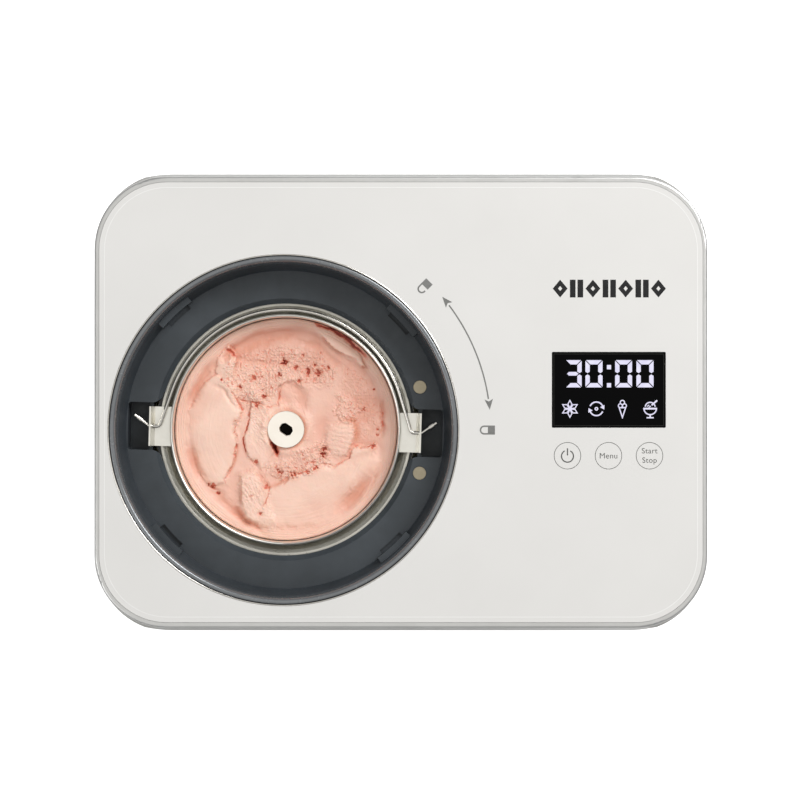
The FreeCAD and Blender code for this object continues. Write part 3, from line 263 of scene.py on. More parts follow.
# Each material of the record: darker and lighter colour, least and most roughness, surface.
SLOT_MATERIALS = {
    "silver_wall": metal("silver_wall", (0.43, 0.43, 0.42), (0.48, 0.48, 0.47), (0.36, 0.44),
                         stretch=(1.0, 1.0, 14.0), grain=420.0, grain_depth=0.000002,
                         smear=0.04, anisotropic=0.3, metallic=0.8),
    "silver_frame": metal("silver_frame", (0.60, 0.60, 0.59), (0.68, 0.68, 0.67), (0.28, 0.36),
                          stretch=(1.0, 1.0, 8.0), grain=420.0, grain_depth=0.000002,
                          smear=0.05, metallic=0.8),
    "white_glass": white_glass(),
    "smoked_lens": smoked_lens(),
    "dark_chrome": metal("dark_chrome", (0.17, 0.18, 0.19), (0.23, 0.24, 0.25), (0.2, 0.28),
                         stretch=(1.0, 1.0, 5.0), grain=300.0, grain_depth=0.0000006,
                         smear=0.05, metallic=0.5),
    "slate_plastic": plastic("slate_plastic", (0.034, 0.041, 0.048), (0.046, 0.055, 0.064),
                             (0.34, 0.5), grain=1200.0, grain_depth=0.00002, wear=0.12,
                             specular=0.45),
    "black_rubber": plastic("black_rubber", (0.014, 0.014, 0.014), (0.024, 0.024, 0.024),
                            (0.65, 0.85), grain=700.0),
    "screw_steel": metal("screw_steel", (0.42, 0.42, 0.42), (0.58, 0.58, 0.57), (0.25, 0.4)),
    "nickel": metal("nickel", (0.30, 0.26, 0.18), (0.48, 0.42, 0.31), (0.26, 0.42), smear=0.1),
    "black_plastic": plastic("black_plastic", (0.016, 0.016, 0.018), (0.026, 0.026, 0.028),
                             (0.42, 0.6)),
    "well_aluminium": metal("well_aluminium", (0.62, 0.60, 0.54), (0.80, 0.78, 0.71), (0.26, 0.4),
                            stretch=(1.0, 1.0, 10.0), grain=350.0, grain_depth=0.000003,
                            smear=0.05, metallic=0.85),
    "copper": metal("copper", (0.52, 0.24, 0.14), (0.70, 0.36, 0.22), (0.22, 0.42), smear=0.15),
    "foam": plastic("foam", (0.66, 0.58, 0.36), (0.76, 0.68, 0.46), (0.8, 0.95),
                    grain=500.0, grain_depth=0.0002),
    "bowl_steel": metal("bowl_steel", (0.82, 0.80, 0.74), (0.95, 0.93, 0.87), (0.28, 0.36),
                        stretch=(1.0, 1.0, 12.0), grain=380.0, grain_depth=0.000002, smear=0.06),
    "wire_steel": metal("wire_steel", (0.60, 0.58, 0.54), (0.85, 0.82, 0.77), (0.12, 0.24),
                        grain=500.0, grain_depth=0.000003),
    "cream_plastic": plastic("cream_plastic", (0.87, 0.79, 0.67), (0.93, 0.86, 0.75), (0.36, 0.5),
                             grain=1100.0, grain_depth=0.00001, wear=0.1),
    "black_paint": plastic("black_paint", (0.012, 0.012, 0.013), (0.02, 0.02, 0.021),
                           (0.25, 0.4), grain=300.0),
    "iron": metal("iron", (0.10, 0.10, 0.10), (0.18, 0.17, 0.16), (0.5, 0.7),
                  grain=250.0, grain_depth=0.0001),
    "circuit_board": plastic("circuit_board", (0.01, 0.09, 0.035), (0.02, 0.13, 0.05),
                             (0.3, 0.45), grain=400.0),
    "steel_sheet": metal("steel_sheet", (0.36, 0.37, 0.38), (0.52, 0.53, 0.54), (0.3, 0.5),
                         smear=0.1),
    "ice_cream": ice_cream_material(),
}
SIGN_GREY = printed_ink("sign_grey", (0.18, 0.18, 0.172), (0.22, 0.22, 0.212))
THIN_GREY = printed_ink("thin_grey", (0.085, 0.085, 0.08), (0.11, 0.11, 0.105))
BLACK_INK = printed_ink("black_ink", (0.008, 0.008, 0.009), (0.016, 0.016, 0.017))
# Pale ink for the hairline inside the glass edge: a painted highlight.
EDGE_HIGHLIGHT_INK = printed_ink("painted_highlight_ink", (0.82, 0.815, 0.80), (0.86, 0.855, 0.84))
FRAME_INK = printed_ink("frame_ink", (0.012, 0.012, 0.01), (0.02, 0.02, 0.016))
# Near-black plastic for pieces that stand for shade: painted shade in the drive socket and in the ring's
# groove.
SHADE_BLACK = plastic("painted_shade_black", (0.004, 0.003, 0.003), (0.008, 0.006, 0.005), (0.6, 0.8),
                       grain=600.0, specular=0.05)
LIT = lit_segment()

for part in frame["record"]["subparts"]:
    node = frame["nodes"][part["node"]]
    node.data.materials.clear()
    node.data.materials.append(SLOT_MATERIALS[part["material_slot"]])


# ------------------------------------------------------------------ mesh helpers

def link_piece(name, mesh, material, body="root"):
    """Put a finished mesh into the scene as a piece that rides on one body."""
    mesh.materials.clear()
    mesh.materials.append(material)
    piece = bpy.data.objects.new(name, mesh)
    bpy.context.scene.collection.objects.link(piece)
    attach(piece, body)
    return piece


def mesh_piece(name, points, faces, material, body="root", sharp_deg=35.0):
    """A closed mesh piece from points in mm, with outward normals, riding on one body."""
    mesh = bpy.data.meshes.new(name)
    mesh.from_pydata([tuple(c * MM for c in p) for p in points], [], faces)
    shape = bmesh.new()
    shape.from_mesh(mesh)
    bmesh.ops.recalc_face_normals(shape, faces=shape.faces)
    shape.to_mesh(mesh)
    shape.free()
    mesh.shade_smooth()
    mesh.set_sharp_from_angle(angle=math.radians(sharp_deg))
    return link_piece(name, mesh, material, body)


def mesh_of(curve):
    """The mesh that a filled curve or a text makes."""
    holder = bpy.data.objects.new("outline", curve)
    bpy.context.scene.collection.objects.link(holder)
    graph = bpy.context.evaluated_depsgraph_get()
    mesh = bpy.data.meshes.new_from_object(holder.evaluated_get(graph))
    bpy.data.objects.remove(holder)
    return mesh


def printed(name, loops, material, top=GLASS_TOP, thick=0.04):
    """Flat closed loops in mm, filled even-odd and given the thickness of an ink film."""
    curve = bpy.data.curves.new(name, "CURVE")
    curve.dimensions = "2D"
    curve.fill_mode = "BOTH"
    curve.extrude = thick / 2 * MM
    for loop in loops:
        spline = curve.splines.new("POLY")
        spline.points.add(len(loop) - 1)
        spline.use_cyclic_u = True
        for point, (x, y) in zip(spline.points, loop):
            point.co = (x * MM, y * MM, 0.0, 1.0)
    mesh = mesh_of(curve)
    mesh.name = name
    shape = bmesh.new()
    shape.from_mesh(mesh)
    bmesh.ops.remove_doubles(shape, verts=shape.verts, dist=1e-7)
    middle = (0.0, 0.0, (top + thick / 2 + INK_GAP) * MM)
    bmesh.ops.translate(shape, verts=shape.verts, vec=middle)
    bmesh.ops.recalc_face_normals(shape, faces=shape.faces)
    shape.to_mesh(mesh)
    shape.free()
    link_piece(name, mesh, material)


def around(radius, angle):
    """A point at a radius in mm and an angle in degrees about the well's axis."""
    a = math.radians(angle)
    return (WELL[0] + radius * math.cos(a), WELL[1] + radius * math.sin(a))


def circle(x, y, radius, count):
    steps = [2 * math.pi * i / count for i in range(count)]
    return [(x + radius * math.cos(a), y + radius * math.sin(a)) for a in steps]


def arc_points(x, y, radius, start, end, count=48):
    """Points along an arc, angles in degrees."""
    steps = [math.radians(start + (end - start) * i / count) for i in range(count + 1)]
    return [(x + radius * math.cos(a), y + radius * math.sin(a)) for a in steps]


def stroke(points, width, closed=False):
    """Outline loops of a pen line of one width along the points."""
    points = [np.array(p, float) for p in points]
    left, right = [], []
    count = len(points)
    for i, p in enumerate(points):
        before = points[i - 1] if i or closed else p
        after = points[(i + 1) % count] if i < count - 1 or closed else p
        first = p - before if i or closed else after - p
        last = after - p if i < count - 1 or closed else first
        first = first / np.linalg.norm(first)
        last = last / np.linalg.norm(last)
        side = np.array([-(first + last)[1], (first + last)[0]])
        side = side / np.linalg.norm(side)
        reach = width / 2 / max(0.35, float(side @ np.array([-last[1], last[0]])))
        left.append(tuple(p + side * reach))
        right.append(tuple(p - side * reach))
    return [left, right] if closed else [left + right[::-1]]


def moved(loops, x, y, turn=0.0):
    """The loops turned by some degrees about the origin, then carried to the point."""
    c, s = math.cos(math.radians(turn)), math.sin(math.radians(turn))
    return [[(x + c * px - s * py, y + s * px + c * py) for px, py in loop] for loop in loops]


def lathe(name, profile, material, sharp_deg=35.0, count=360):
    """A closed profile of (radius, height) in mm turned about the well's axis."""
    rows = len(profile)
    angles = [2 * math.pi * i / count for i in range(count)]
    points = [(WELL[0] + r * math.cos(a), WELL[1] + r * math.sin(a), z)
              for a in angles for r, z in profile]
    faces = []
    for i in range(count):
        j = (i + 1) % count
        for k in range(rows):
            m = (k + 1) % rows
            faces.append((i * rows + k, j * rows + k, j * rows + m, i * rows + m))
    return mesh_piece(name, points, faces, material, sharp_deg=sharp_deg)


# ------------------------------------------------------------------ printed signs on the glass

def arrow_arc():
    """Double-headed arrow about the well that shows which way the lid twists."""
    radius, first, last = 128.4, 5.6, 40.0
    shortened = 3.0             # degrees at each end, where the heads take over
    line = arc_points(*WELL, radius, first + shortened, last - shortened)
    printed("arrow_line", stroke(line, 0.85), SIGN_GREY)
    head = [[(0.0, 0.0), (-2.6, -6.6), (0.0, -5.2), (2.6, -6.6)]]
    heads = moved(head, *around(radius, first), first + 180) + moved(head, *around(radius, last), last)
    printed("arrow_heads", heads, SIGN_GREY, top=GLASS_TOP + LAYER / 2)


def padlock(name, angle, radius, opened):
    """Padlock sign lying on its side, shackle towards the well."""
    x, y = around(radius, angle)
    body = [[(0.0, -2.8), (4.4, -2.8), (4.4, 2.8), (0.0, 2.8)]]
    bow = [(0.4, 2.35), (-2.2, 2.35)]
    if opened:
        bow += arc_points(-2.2, 0.1, 2.25, 90, 285, 24)[1:]
    else:
        bow += arc_points(-2.2, 0.0, 2.35, 90, 270, 24)[1:] + [(0.4, -2.35)]
    printed(name + "_body", moved(body, x, y, angle), SIGN_GREY)
    printed(name + "_bow", moved(stroke(bow, 0.95), x, y, angle), SIGN_GREY,
            top=GLASS_TOP + LAYER / 2)


def word(text, x, y, size):
    """A word in plain type, centred on the point, printed like the other signs."""
    thick = 0.04
    curve = bpy.data.curves.new("word_" + text, "FONT")
    curve.body = text
    curve.size = size * MM
    curve.align_x, curve.align_y = "CENTER", "CENTER"
    curve.space_character = 1.06
    curve.extrude = thick / 2 * MM
    mesh = mesh_of(curve)
    middle = (GLASS_TOP + thick / 2 + INK_GAP) * MM
    mesh.transform(Matrix.Translation((x * MM, y * MM, middle)))
    link_piece("word_" + text.lower(), mesh, THIN_GREY)


def touch_signs():
    """Power, menu and start or stop signs, each in a thin ring."""
    middle, pitch, y = 128.5, 25.4, -33.1
    for i, name in ((-1, "power"), (0, "menu"), (1, "run")):
        x = middle + pitch * i
        printed("ring_" + name, [circle(x, y, 8.4, 96), circle(x, y, 8.05, 96)], THIN_GREY)
        if name == "power":
            bow = stroke(arc_points(0, -0.3, 3.7, 118, 422, 40), 0.75)
            bar = stroke([(0, 0.2), (0, 4.6)], 0.75)
            printed("sign_power", moved(bow + bar, x, y), THIN_GREY)
        elif name == "menu":
            word("Menu", x, y - 0.2, 4.9)
        else:
            word("Start", x, y + 2.9, 4.8)
            word("Stop", x, y - 2.9, 4.8)


def box_loop(x0, x1, y0, y1):
    return [(x0, y0), (x1, y0), (x1, y1), (x0, y1)]


def ornament():
    """Plain black ornament of diamonds and bars at the back right of the glass."""
    x, y = 129.0, 70.4
    width, height, count = 71.0, 11.0, 7
    half, pitch = height / 2, width / count
    loops = []
    for i in range(count):
        cx = -width / 2 + pitch * (i + 0.5)
        if i % 2:
            loops += [box_loop(cx - 4.1, cx - 0.6, -half, half), box_loop(cx + 0.6, cx + 4.1, -half, half)]
        else:
            for reach, rise in ((4.6, half), (1.3, height / 7)):
                loops.append([(cx, -rise), (cx + reach, 0.0), (cx, rise), (cx - reach, 0.0)])
    printed("ornament", moved(loops, x, y), BLACK_INK)


def rounded_box(width, depth, radius, per_corner=16):
    """Outline of a rounded rectangle about the origin."""
    loop = []
    for sx, sy, start in ((1, 1, 0), (-1, 1, 90), (-1, -1, 180), (1, -1, 270)):
        centre = (sx * (width / 2 - radius), sy * (depth / 2 - radius))
        loop += arc_points(*centre, radius, start, start + 90, per_corner)
    return loop


def panel_line():
    """Pale hairline just inside the glass edge: a painted highlight of the edge's bevel."""
    outer = rounded_box(367.6, 266.4, 39.0)
    inner = rounded_box(366.8, 265.6, 38.6)
    printed("painted_edge_highlight", [outer, inner], EDGE_HIGHLIGHT_INK, thick=0.02)


# ------------------------------------------------------------------ display

def digit(x0, x1, y0, y1, shown):
    """Seven-segment digit; shown names the lit segments a to g."""
    w, gap, tip = 2.7, 0.4, 0.9            # bar width, gap between bars, length of a bar's point
    mid = (y0 + y1) / 2
    up, down = mid + tip + gap, mid - tip - gap
    slots = {
        "a": [(x0 + gap, y1), (x1 - gap, y1), (x1 - w - gap, y1 - w), (x0 + w + gap, y1 - w)],
        "d": [(x0 + gap, y0), (x0 + w + gap, y0 + w), (x1 - w - gap, y0 + w), (x1 - gap, y0)],
        "b": [(x1, y1 - gap), (x1, up), (x1 - w / 2, mid + gap), (x1 - w, up), (x1 - w, y1 - w - gap)],
        "c": [(x1, y0 + gap), (x1 - w, y0 + w + gap), (x1 - w, down), (x1 - w / 2, mid - gap), (x1, down)],
        "f": [(x0, y1 - gap), (x0 + w, y1 - w - gap), (x0 + w, up), (x0 + w / 2, mid + gap), (x0, up)],
        "e": [(x0, y0 + gap), (x0, down), (x0 + w / 2, mid - gap), (x0 + w, down), (x0 + w, y0 + w + gap)],
        "g": [(x0 + tip, mid), (x0 + 2.1, mid + 1.15), (x1 - w - 0.7, mid + 1.15),
              (x1 - w / 2 - 0.6, mid), (x1 - w - 0.7, mid - 1.15), (x0 + 2.1, mid - 1.15)],
    }
    return [slots[k] for k in shown]


def lit(name, loops, layer=0):
    """A lit piece of the display; a higher layer lies over the pieces it overlaps."""
    printed(name, loops, LIT, top=GLASS_TOP + LAYER * layer)


def clock():
    """Four digits and the colon between them."""
    low, high = 9.2, 26.1
    spans = ((101.9, 111.9, "abcdg"), (114.2, 124.8, "abcdef"), (132.6, 143.1, "abcdef"),
             (145.8, 156.4, "abcdef"))
    for i, (x0, x1, shown) in enumerate(spans):
        lit(f"digit_{i}", digit(x0, x1, low, high, shown))
    lit("digit_colon", [box_loop(127.5, 130.1, y, y + 2.7) for y in (low, 20.4)])


def frost_sign(x, y):
    """Star of six petals."""
    petal = stroke([(0.0, 0.5), (1.25, 2.9), (0.0, 5.2), (-1.25, 2.9)], 0.62, closed=True)
    for k in range(6):
        lit(f"sign_frost_{k}", moved(petal, x, y, 60 * k), k)


def churn_sign(x, y):
    """Two arrows chasing each other round a hub."""
    lean = -8                   # degrees
    barb = [[(2.1, 1.3), (4.9, 0.2), (4.6, 3.1)]]
    for k, turn in enumerate((0, 180)):
        sweep = stroke(arc_points(0, 0, 4.2, 22 + turn, 165 + turn, 30), 0.85)
        lit(f"sign_churn_{k}", moved(sweep, x, y, lean))
        lit(f"sign_barb_{k}", moved(barb, x, y, turn + lean), 1)
    lit("sign_churn_2", [circle(x, y, 1.15, 24), circle(x, y, 0.45, 24)])


def cone_sign(x, y):
    """Cone with three scoops."""
    cone = stroke([(-2.0, 0.7), (0.0, -5.3), (2.0, 0.7)], 0.75, closed=True)
    lit("sign_cone_0", moved(cone, x, y))
    scoops = ((-1.25, 1.9, 1.55, 0.9), (1.25, 1.9, 1.55, 0.9), (0.0, 3.9, 1.65, 1.0))
    for k, (cx, cy, outer, inner) in enumerate(scoops, 1):
        lit(f"sign_cone_{k}", moved([circle(cx, cy, outer, 32), circle(cx, cy, inner, 32)], x, y), k)


def sundae_sign(x, y):
    """Cup on a foot, heaped, with a spoon and two crumbs."""
    strokes = (
        stroke(arc_points(0.0, 0.3, 3.9, 180, 360, 30), 0.75, closed=True),
        stroke(arc_points(0.0, 0.9, 3.1, 8, 172, 24), 0.75),
        stroke([(0.0, -3.6), (0.0, -5.4)], 0.9),
        stroke([(-2.2, -5.5), (2.2, -5.5)], 0.8),
        stroke([(0.9, 2.2), (4.3, 5.2)], 1.0),
        stroke([(-2.0, 1.4), (-0.6, 2.4)], 0.6) + stroke([(-0.9, 0.9), (0.5, 1.7)], 0.6),
    )
    for k, loops in enumerate(strokes):
        lit(f"sign_sundae_{k}", moved(loops, x, y), k)


def display():
    """Clock digits over a row of four lit signs, behind the smoked window."""
    clock()
    y = -4.05
    frost_sign(104.6, y)
    churn_sign(121.0, y)
    cone_sign(137.1, y)
    sundae_sign(154.3, y)


def lens_frame():
    """Faint frame line inside the display window."""
    x, y = (LENS_LOW.x + LENS_HIGH.x) / 2 / MM, (LENS_LOW.y + LENS_HIGH.y) / 2 / MM
    loops = stroke(box_loop(-34.0, 34.0, -22.2, 22.2), 0.25, closed=True)
    printed("lens_frame", moved(loops, x, y), FRAME_INK, thick=0.01)


# ------------------------------------------------------------------ trim ring

def trim_ring():
    """Polished ring: drop wall and rolled crown, then a black line in the groove as a painted shadow, and an
    outer bead in brighter steel as a painted highlight.
    """
    foot, seat = 187.8, 199.3          # mm, heights of the ring's lower end and of the glass seat
    crown = [(104.2, foot), (104.2, 197.6), (104.5, 198.8), (105.1, 199.6), (105.9, 200.0),
             (106.9, 200.0), (107.5, 199.8), (107.75, 199.5), (107.75, seat), (106.4, seat),
             (105.6, 198.2), (105.6, foot)]
    groove_shadow = [(107.76, seat), (107.76, 199.48), (108.28, 199.48), (108.28, seat)]
    bead = [(108.3, seat), (108.3, 199.56), (108.5, 199.68), (108.8, 199.66), (109.0, 199.5),
            (109.0, seat)]
    chrome = SLOT_MATERIALS["dark_chrome"]
    ring = lathe("trim_ring_polished", crown, chrome, sharp_deg=50.0)
    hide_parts("trim_ring")
    # Black line in the groove between ring and glass: a painted shadow.
    lathe("trim_ring_groove_shadow", groove_shadow, SHADE_BLACK)
    # Outer bead: a real rolled edge, made of brighter steel than the ring as a painted highlight.
    lathe("trim_ring_bead", bead, SLOT_MATERIALS["wire_steel"])


def socket_shadow_plug():
    """Black plug at the bottom of the hub's drive socket: a painted shade for the deep socket."""
    low, high = 148.62, 150.4
    rim = [(4.1, -1.5), (4.1, 1.5), (2.4, 3.2), (-2.4, 3.2),
           (-4.1, 1.5), (-4.1, -1.5), (-2.4, -3.2), (2.4, -3.2)]
    (outline,) = moved([rim], *WELL, -34.0)
    points = [(x, y, z) for z in (low, high) for x, y in outline]
    count = len(rim)
    faces = [tuple(range(count))[::-1], tuple(range(count, 2 * count))]
    for i in range(count):
        j = (i + 1) % count
        faces.append((i, j, count + j, count + i))
    mesh_piece("socket_shadow_plug", points, faces, SHADE_BLACK, "paddle")


# ------------------------------------------------------------------ ice cream

def lattice_noise(x, y, seed):
    """Smooth noise from -1 to 1 on a repeating lattice of unit cells."""
    size = 64
    table = np.random.RandomState(seed).rand(size, size) * 2 - 1
    xi, yi = np.floor(x).astype(int), np.floor(y).astype(int)
    fx, fy = x - xi, y - yi
    fx, fy = fx * fx * (3 - 2 * fx), fy * fy * (3 - 2 * fy)
    left, right = xi % size, (xi + 1) % size
    near, far = yi % size, (yi + 1) % size
    low = table[left, near] * (1 - fx) + table[right, near] * fx
    high = table[left, far] * (1 - fx) + table[right, far] * fx
    return low * (1 - fy) + high * fy


def fractal(x, y, scale, seed, octaves=4):
    """Octaves of lattice noise from -1 to 1; scale is the first octave's cells per mm."""
    total = 0
    for k in range(octaves):
        finer = scale * 2 ** k
        total = total + 0.5 ** k * lattice_noise(x * finer, y * finer, seed + k)
    return total / (2 - 0.5 ** (octaves - 1))


def step(low, high, value):
    """Smooth step from 0 at low to 1 at high."""
    t = np.clip((value - low) / (high - low), 0, 1)
    return t * t * (3 - 2 * t)


def bell(distance, width):
    """Bell curve, 1 at no distance."""
    return np.exp(-((distance / width) ** 2))


def fading(along, start, power):
    """Strength along a line: full in the middle, fading towards both ends."""
    return np.sin(np.pi * np.clip(along * (1 - 2 * start) + start, 0, 1)) ** power


def from_line(u, v, points):
    """Distance to a line through the points, and how far along it from 0 to 1."""
    best = np.full(u.shape, 1e9)
    along = np.zeros(u.shape)
    total = len(points) - 1
    for i, ((ax, ay), (bx, by)) in enumerate(zip(points, points[1:])):
        dx, dy = bx - ax, by - ay
        t = np.clip(((u - ax) * dx + (v - ay) * dy) / (dx * dx + dy * dy), 0, 1)
        distance = np.hypot(u - ax - t * dx, v - ay - t * dy)
        nearer = distance < best
        best = np.where(nearer, distance, best)
        along = np.where(nearer, (i + t) / total, along)
    return best, along


def depth_inside(u, v, points):
    """Signed distance to a closed outline, positive inside."""
    ring = [*points, points[0]]
    inside = np.zeros(u.shape, bool)
    for (ax, ay), (bx, by) in zip(ring, ring[1:]):
        crossing = ((ay > v) != (by > v)) & (u < (bx - ax) * (v - ay) / (by - ay + 1e-12) + ax)
        inside ^= crossing
    return np.where(inside, 1.0, -1.0) * from_line(u, v, ring)[0]


# The relief's features, as x, y in mm from the well's axis. Heights, depths and widths are in mm too, and
# IceTop scales them; crumb, strength, painted shade, redness and raggedness have no unit.

# Smoothed slabs: outline, height at the middle, tilt in x and y, edge softness in mm, crumb.
SLABS = [
    ([(-45.7, 34), (-38, 37), (-29.3, 19.8), (-28, 12.2), (-31.8, -0.5), (-31.8, -10), (-34.3, -20.1),
      (-38.8, -33.4), (-47, -36), (-56, -28), (-61.5, -8), (-61, 12), (-54, 27)],
     1.3, 0.075, 0.0, 0.8, 0.0),
    ([(-14, -63), (5, -65), (30, -59), (50, -44), (61, -22), (58, -8), (44, -10.6), (41.7, -13.8),
      (40.4, -18.9), (29.6, -22.7), (13.8, -24), (0, -33), (-12, -38), (-16, -50)],
     0.6, -0.02, 0.03, 1.1, 0.0),
    ([(-21.7, 17.5), (-12, 15), (-9.5, 2), (-8, -13), (-15, -26), (-25.1, -17.1), (-27.4, -5.9),
      (-25.1, -1.1), (-22.9, 9.6)], 1.2, -0.07, 0.0, 0.6, 0.1),
    ([(-27.6, -45.8), (-28.6, -57.4), (-14.1, -64), (-3, -62), (-8, -50), (-12, -36), (-20, -26), (-30, -30)],
     1.7, -0.05, -0.03, 1.3, 0.35),
    ([(-46, 36), (-44, 46), (-36.5, 53.2), (-31.5, 47.0), (-34, 34), (-40, 30)], 1.2, 0.05, 0.04, 0.8, 0.1),
    ([(-5, 27), (5, 30), (14, 24), (11, 12), (0, 13), (-4, 19)], -0.5, 0.10, 0.05, 1.1, 0.0),
    ([(27, 3), (42, 5), (44, -8), (39, -17), (29, -19), (24, -8)], 0.5, 0.06, -0.04, 1.6, 0.25),
    ([(18, 66), (30, 61.5), (45, 50), (52, 40), (46, 41), (33, 50), (22, 58)], 1.0, -0.06, -0.08, 0.7, 0.0),
]

# Crumbly ground: outline, lift, strength, half width of its soft border.
ROUGH = [
    ([(-40, 42), (-30, 47), (0, 52), (24, 47), (34, 38), (30, 28), (14, 27), (2, 29), (-8, 22), (-16, 16),
      (-28, 18), (-39, 30)], 0.5, 1.0, 4.0),
    ([(10, -13), (25, -8), (28, -18), (20, -25), (8, -30), (-7, -32), (-12, -24), (2, -20)], 1.0, 0.95, 2.2),
    ([(-24, -20), (-14, -28), (-13, -46), (-22, -48), (-30, -34)], 0.3, 0.55, 4.0),
    ([(33, 22), (40, 22), (47, 15), (44, 7), (36, 6), (31, 12)], 1.5, 0.95, 2.0),
    ([(32, 44), (48, 38), (60, 20), (60, -6), (46, -8), (38, 6), (34, 24)], 0.0, 0.5, 7.0),
    ([(-30, 22), (-14, 16), (-18, 4), (-26, 6)], 0.0, 0.6, 3.0),
]

# Soft hollows: centre line, half width, depth, painted shade.
HOLLOWS = [
    ([(-35.0, 48.5), (-16, 58), (10.6, 65.6)], 4.6, 1.9, 0.42),
    ([(-45.7, 45.7), (-57.1, 27.4), (-60.9, 17.2)], 3.6, 1.7, 0.5),
    ([(-61.5, -10.8), (-58.5, -22), (-52.1, -32.9)], 3.4, 1.7, 0.5),
    ([(34.6, -50), (45, -42), (53.8, -30.8)], 5.0, 2.1, 0.6),
    ([(-34, -50), (-25, -59), (-12, -65)], 2.6, 2.6, 0.9),
    ([(19.8, 65.0), (36.6, 57.4), (51.8, 43.6)], 1.1, 1.2, 0.55),
    ([(62.6, 18.6), (61.7, 6), (59.7, -4.4)], 1.6, 0.9, 0.4),
    ([(-46, 28), (-30.5, 14)], 1.5, 0.6, 0.12),
    ([(2, 30), (10, 22), (10, 13)], 3.6, 0.9, 0.35),
    ([(-14, -60), (8, -64), (30, -60)], 2.4, 0.7, 0.25),
    ([(40, -22), (54, -16), (61, -6)], 3.2, 0.6, 0.12),
    ([(-40, 44), (-36, 50), (-33, 52)], 2.2, 1.6, 0.7),
    ([(-47, -38), (-40, -44), (-34, -50)], 3.0, 1.2, 0.45),
    ([(-36, 47), (-22, 42), (-6, 40)], 1.8, 0.9, 0.25),
    ([(6, 58), (22, 50), (34, 40)], 2.4, 0.8, 0.15),
]

# Creases: line, half width, depth, redness (red bottom deepening to painted shade, and painted shade beside),
# raggedness.
CREASES = [
    ([(-40.7, 29.9), (-29.3, 19.8), (-28, 12.2), (-31.8, -0.5), (-31.8, -10), (-34.3, -20.1), (-38.8, -33.4)],
     0.42, 1.1, 0.62, 0.8),
    ([(-21.7, 16.9), (-22.9, 9.6), (-25.1, -1.1), (-27.4, -5.9), (-25.6, -15.1), (-20, -24)],
     0.45, 1.2, 0.75, 0.8),
    ([(13.8, -22), (24.6, -22.7), (29.6, -22.7), (40.4, -18.9), (41.7, -13.8)], 0.4, 0.9, 0.5, 0.9),
    ([(44, -10), (50, -10.5), (56.3, -9.4)], 0.6, 1.2, 0.75, 1.5),
    ([(62.6, 16.6), (62, 7), (59.7, -2.4)], 0.45, 0.8, 0.7, 0.9),
    ([(19.0, 66.0), (36.6, 58.6), (51.8, 45.4)], 1.0, 2.6, 1.7, 0.3),
    ([(-38, 51.5), (-34.5, 48.4), (-31.8, 45.6)], 0.8, 1.6, 0.8, 0.4),
    ([(-10.2, -7.4), (-7.6, -11.6), (-5.6, -15.8)], 1.0, 4.5, 1.6, 0.3),
    ([(-12, 14), (-4.5, 15.5), (-2.5, 26)], 0.5, 0.9, 0.4, 0.6),
    ([(-48.9, -34.7), (-42.8, -38.4)], 0.6, 0.9, 0.6, 1.2),
    ([(-2, -26.5), (5, -28.6), (12, -26.6), (19, -23.6)], 0.5, 1.1, 0.65, 1.4),
    ([(-17, -27), (-11, -37), (-12.5, -47), (-17, -54)], 0.45, 0.7, 0.4, 1.3),
    ([(-30, 21), (-22, 17.5), (-14, 16)], 0.45, 0.8, 0.55, 1.3),
    ([(5, 22), (9, 15), (13, 6)], 0.35, 0.35, 0.12, 0.8),
]

# Pits: x, y, radius, depth, redness (red deepening to painted shade).
PITS = [
    (-48.9, -34.7, 0.9, 1.4, 0.8), (-46.4, -36.0, 1.1, 1.5, 0.7), (-42.8, -40.4, 1.0, 1.4, 0.75),
    (-3.9, 34.6, 1.1, 1.6, 0.8), (-0.9, 42.6, 1.9, 2.2, 1.0), (-13.4, 21.0, 1.2, 1.6, 0.8),
    (-28.6, 27.1, 0.9, 1.2, 0.7), (11.3, 47.6, 0.8, 1.2, 0.7), (17.6, 40.7, 0.9, 1.3, 0.75),
    (13.8, 36.5, 1.2, 1.6, 0.85), (20.8, 35.6, 1.4, 1.6, 0.8), (26.9, 39.4, 0.9, 1.2, 0.7),
    (8.4, 30.5, 1.1, 1.4, 0.7), (6.0, 39.0, 0.9, 1.2, 0.7), (-20.5, 33.0, 0.9, 1.1, 0.6),
    (55.6, 25.5, 0.55, 1.0, 1.0), (49.3, 12.8, 1.3, 1.3, 0.5), (24.3, -12.5, 1.4, 1.8, 0.9),
    (23.9, -15.9, 1.5, 1.9, 0.9), (18.9, -24.6, 1.0, 1.3, 0.7), (13.8, -27.1, 0.8, 1.2, 0.7),
    (4.9, -29.4, 1.1, 1.3, 0.6), (-3.9, -27.1, 1.3, 1.6, 0.75), (-12.5, -36.6, 1.0, 1.3, 0.6),
    (-19.1, -20.8, 1.0, 1.3, 0.6), (-16.0, -53.4, 0.8, 1.1, 0.8), (55.0, -11.0, 1.2, 1.4, 0.7),
    (-17.9, 15.2, 1.3, 1.4, 0.7), (-40.7, 31.5, 0.5, 0.8, 1.0), (58.6, 0.5, 0.8, 1.0, 0.8),
    (57.9, -3.2, 0.7, 1.0, 0.8), (22.5, 48.5, 0.7, 1.0, 0.6), (-31.8, 5.5, 0.8, 1.0, 0.6),
]

RELIEF = 1.5                       # how much the slabs and hollows are deepened
ICE_RIM, ICE_BORE = 70.2, 11.65    # mm, radii of the mass at the bowl and at the hub
ICE_LEVEL, ICE_FLOOR = 159.3, 75.3  # mm, mean height of its top and height of its underside


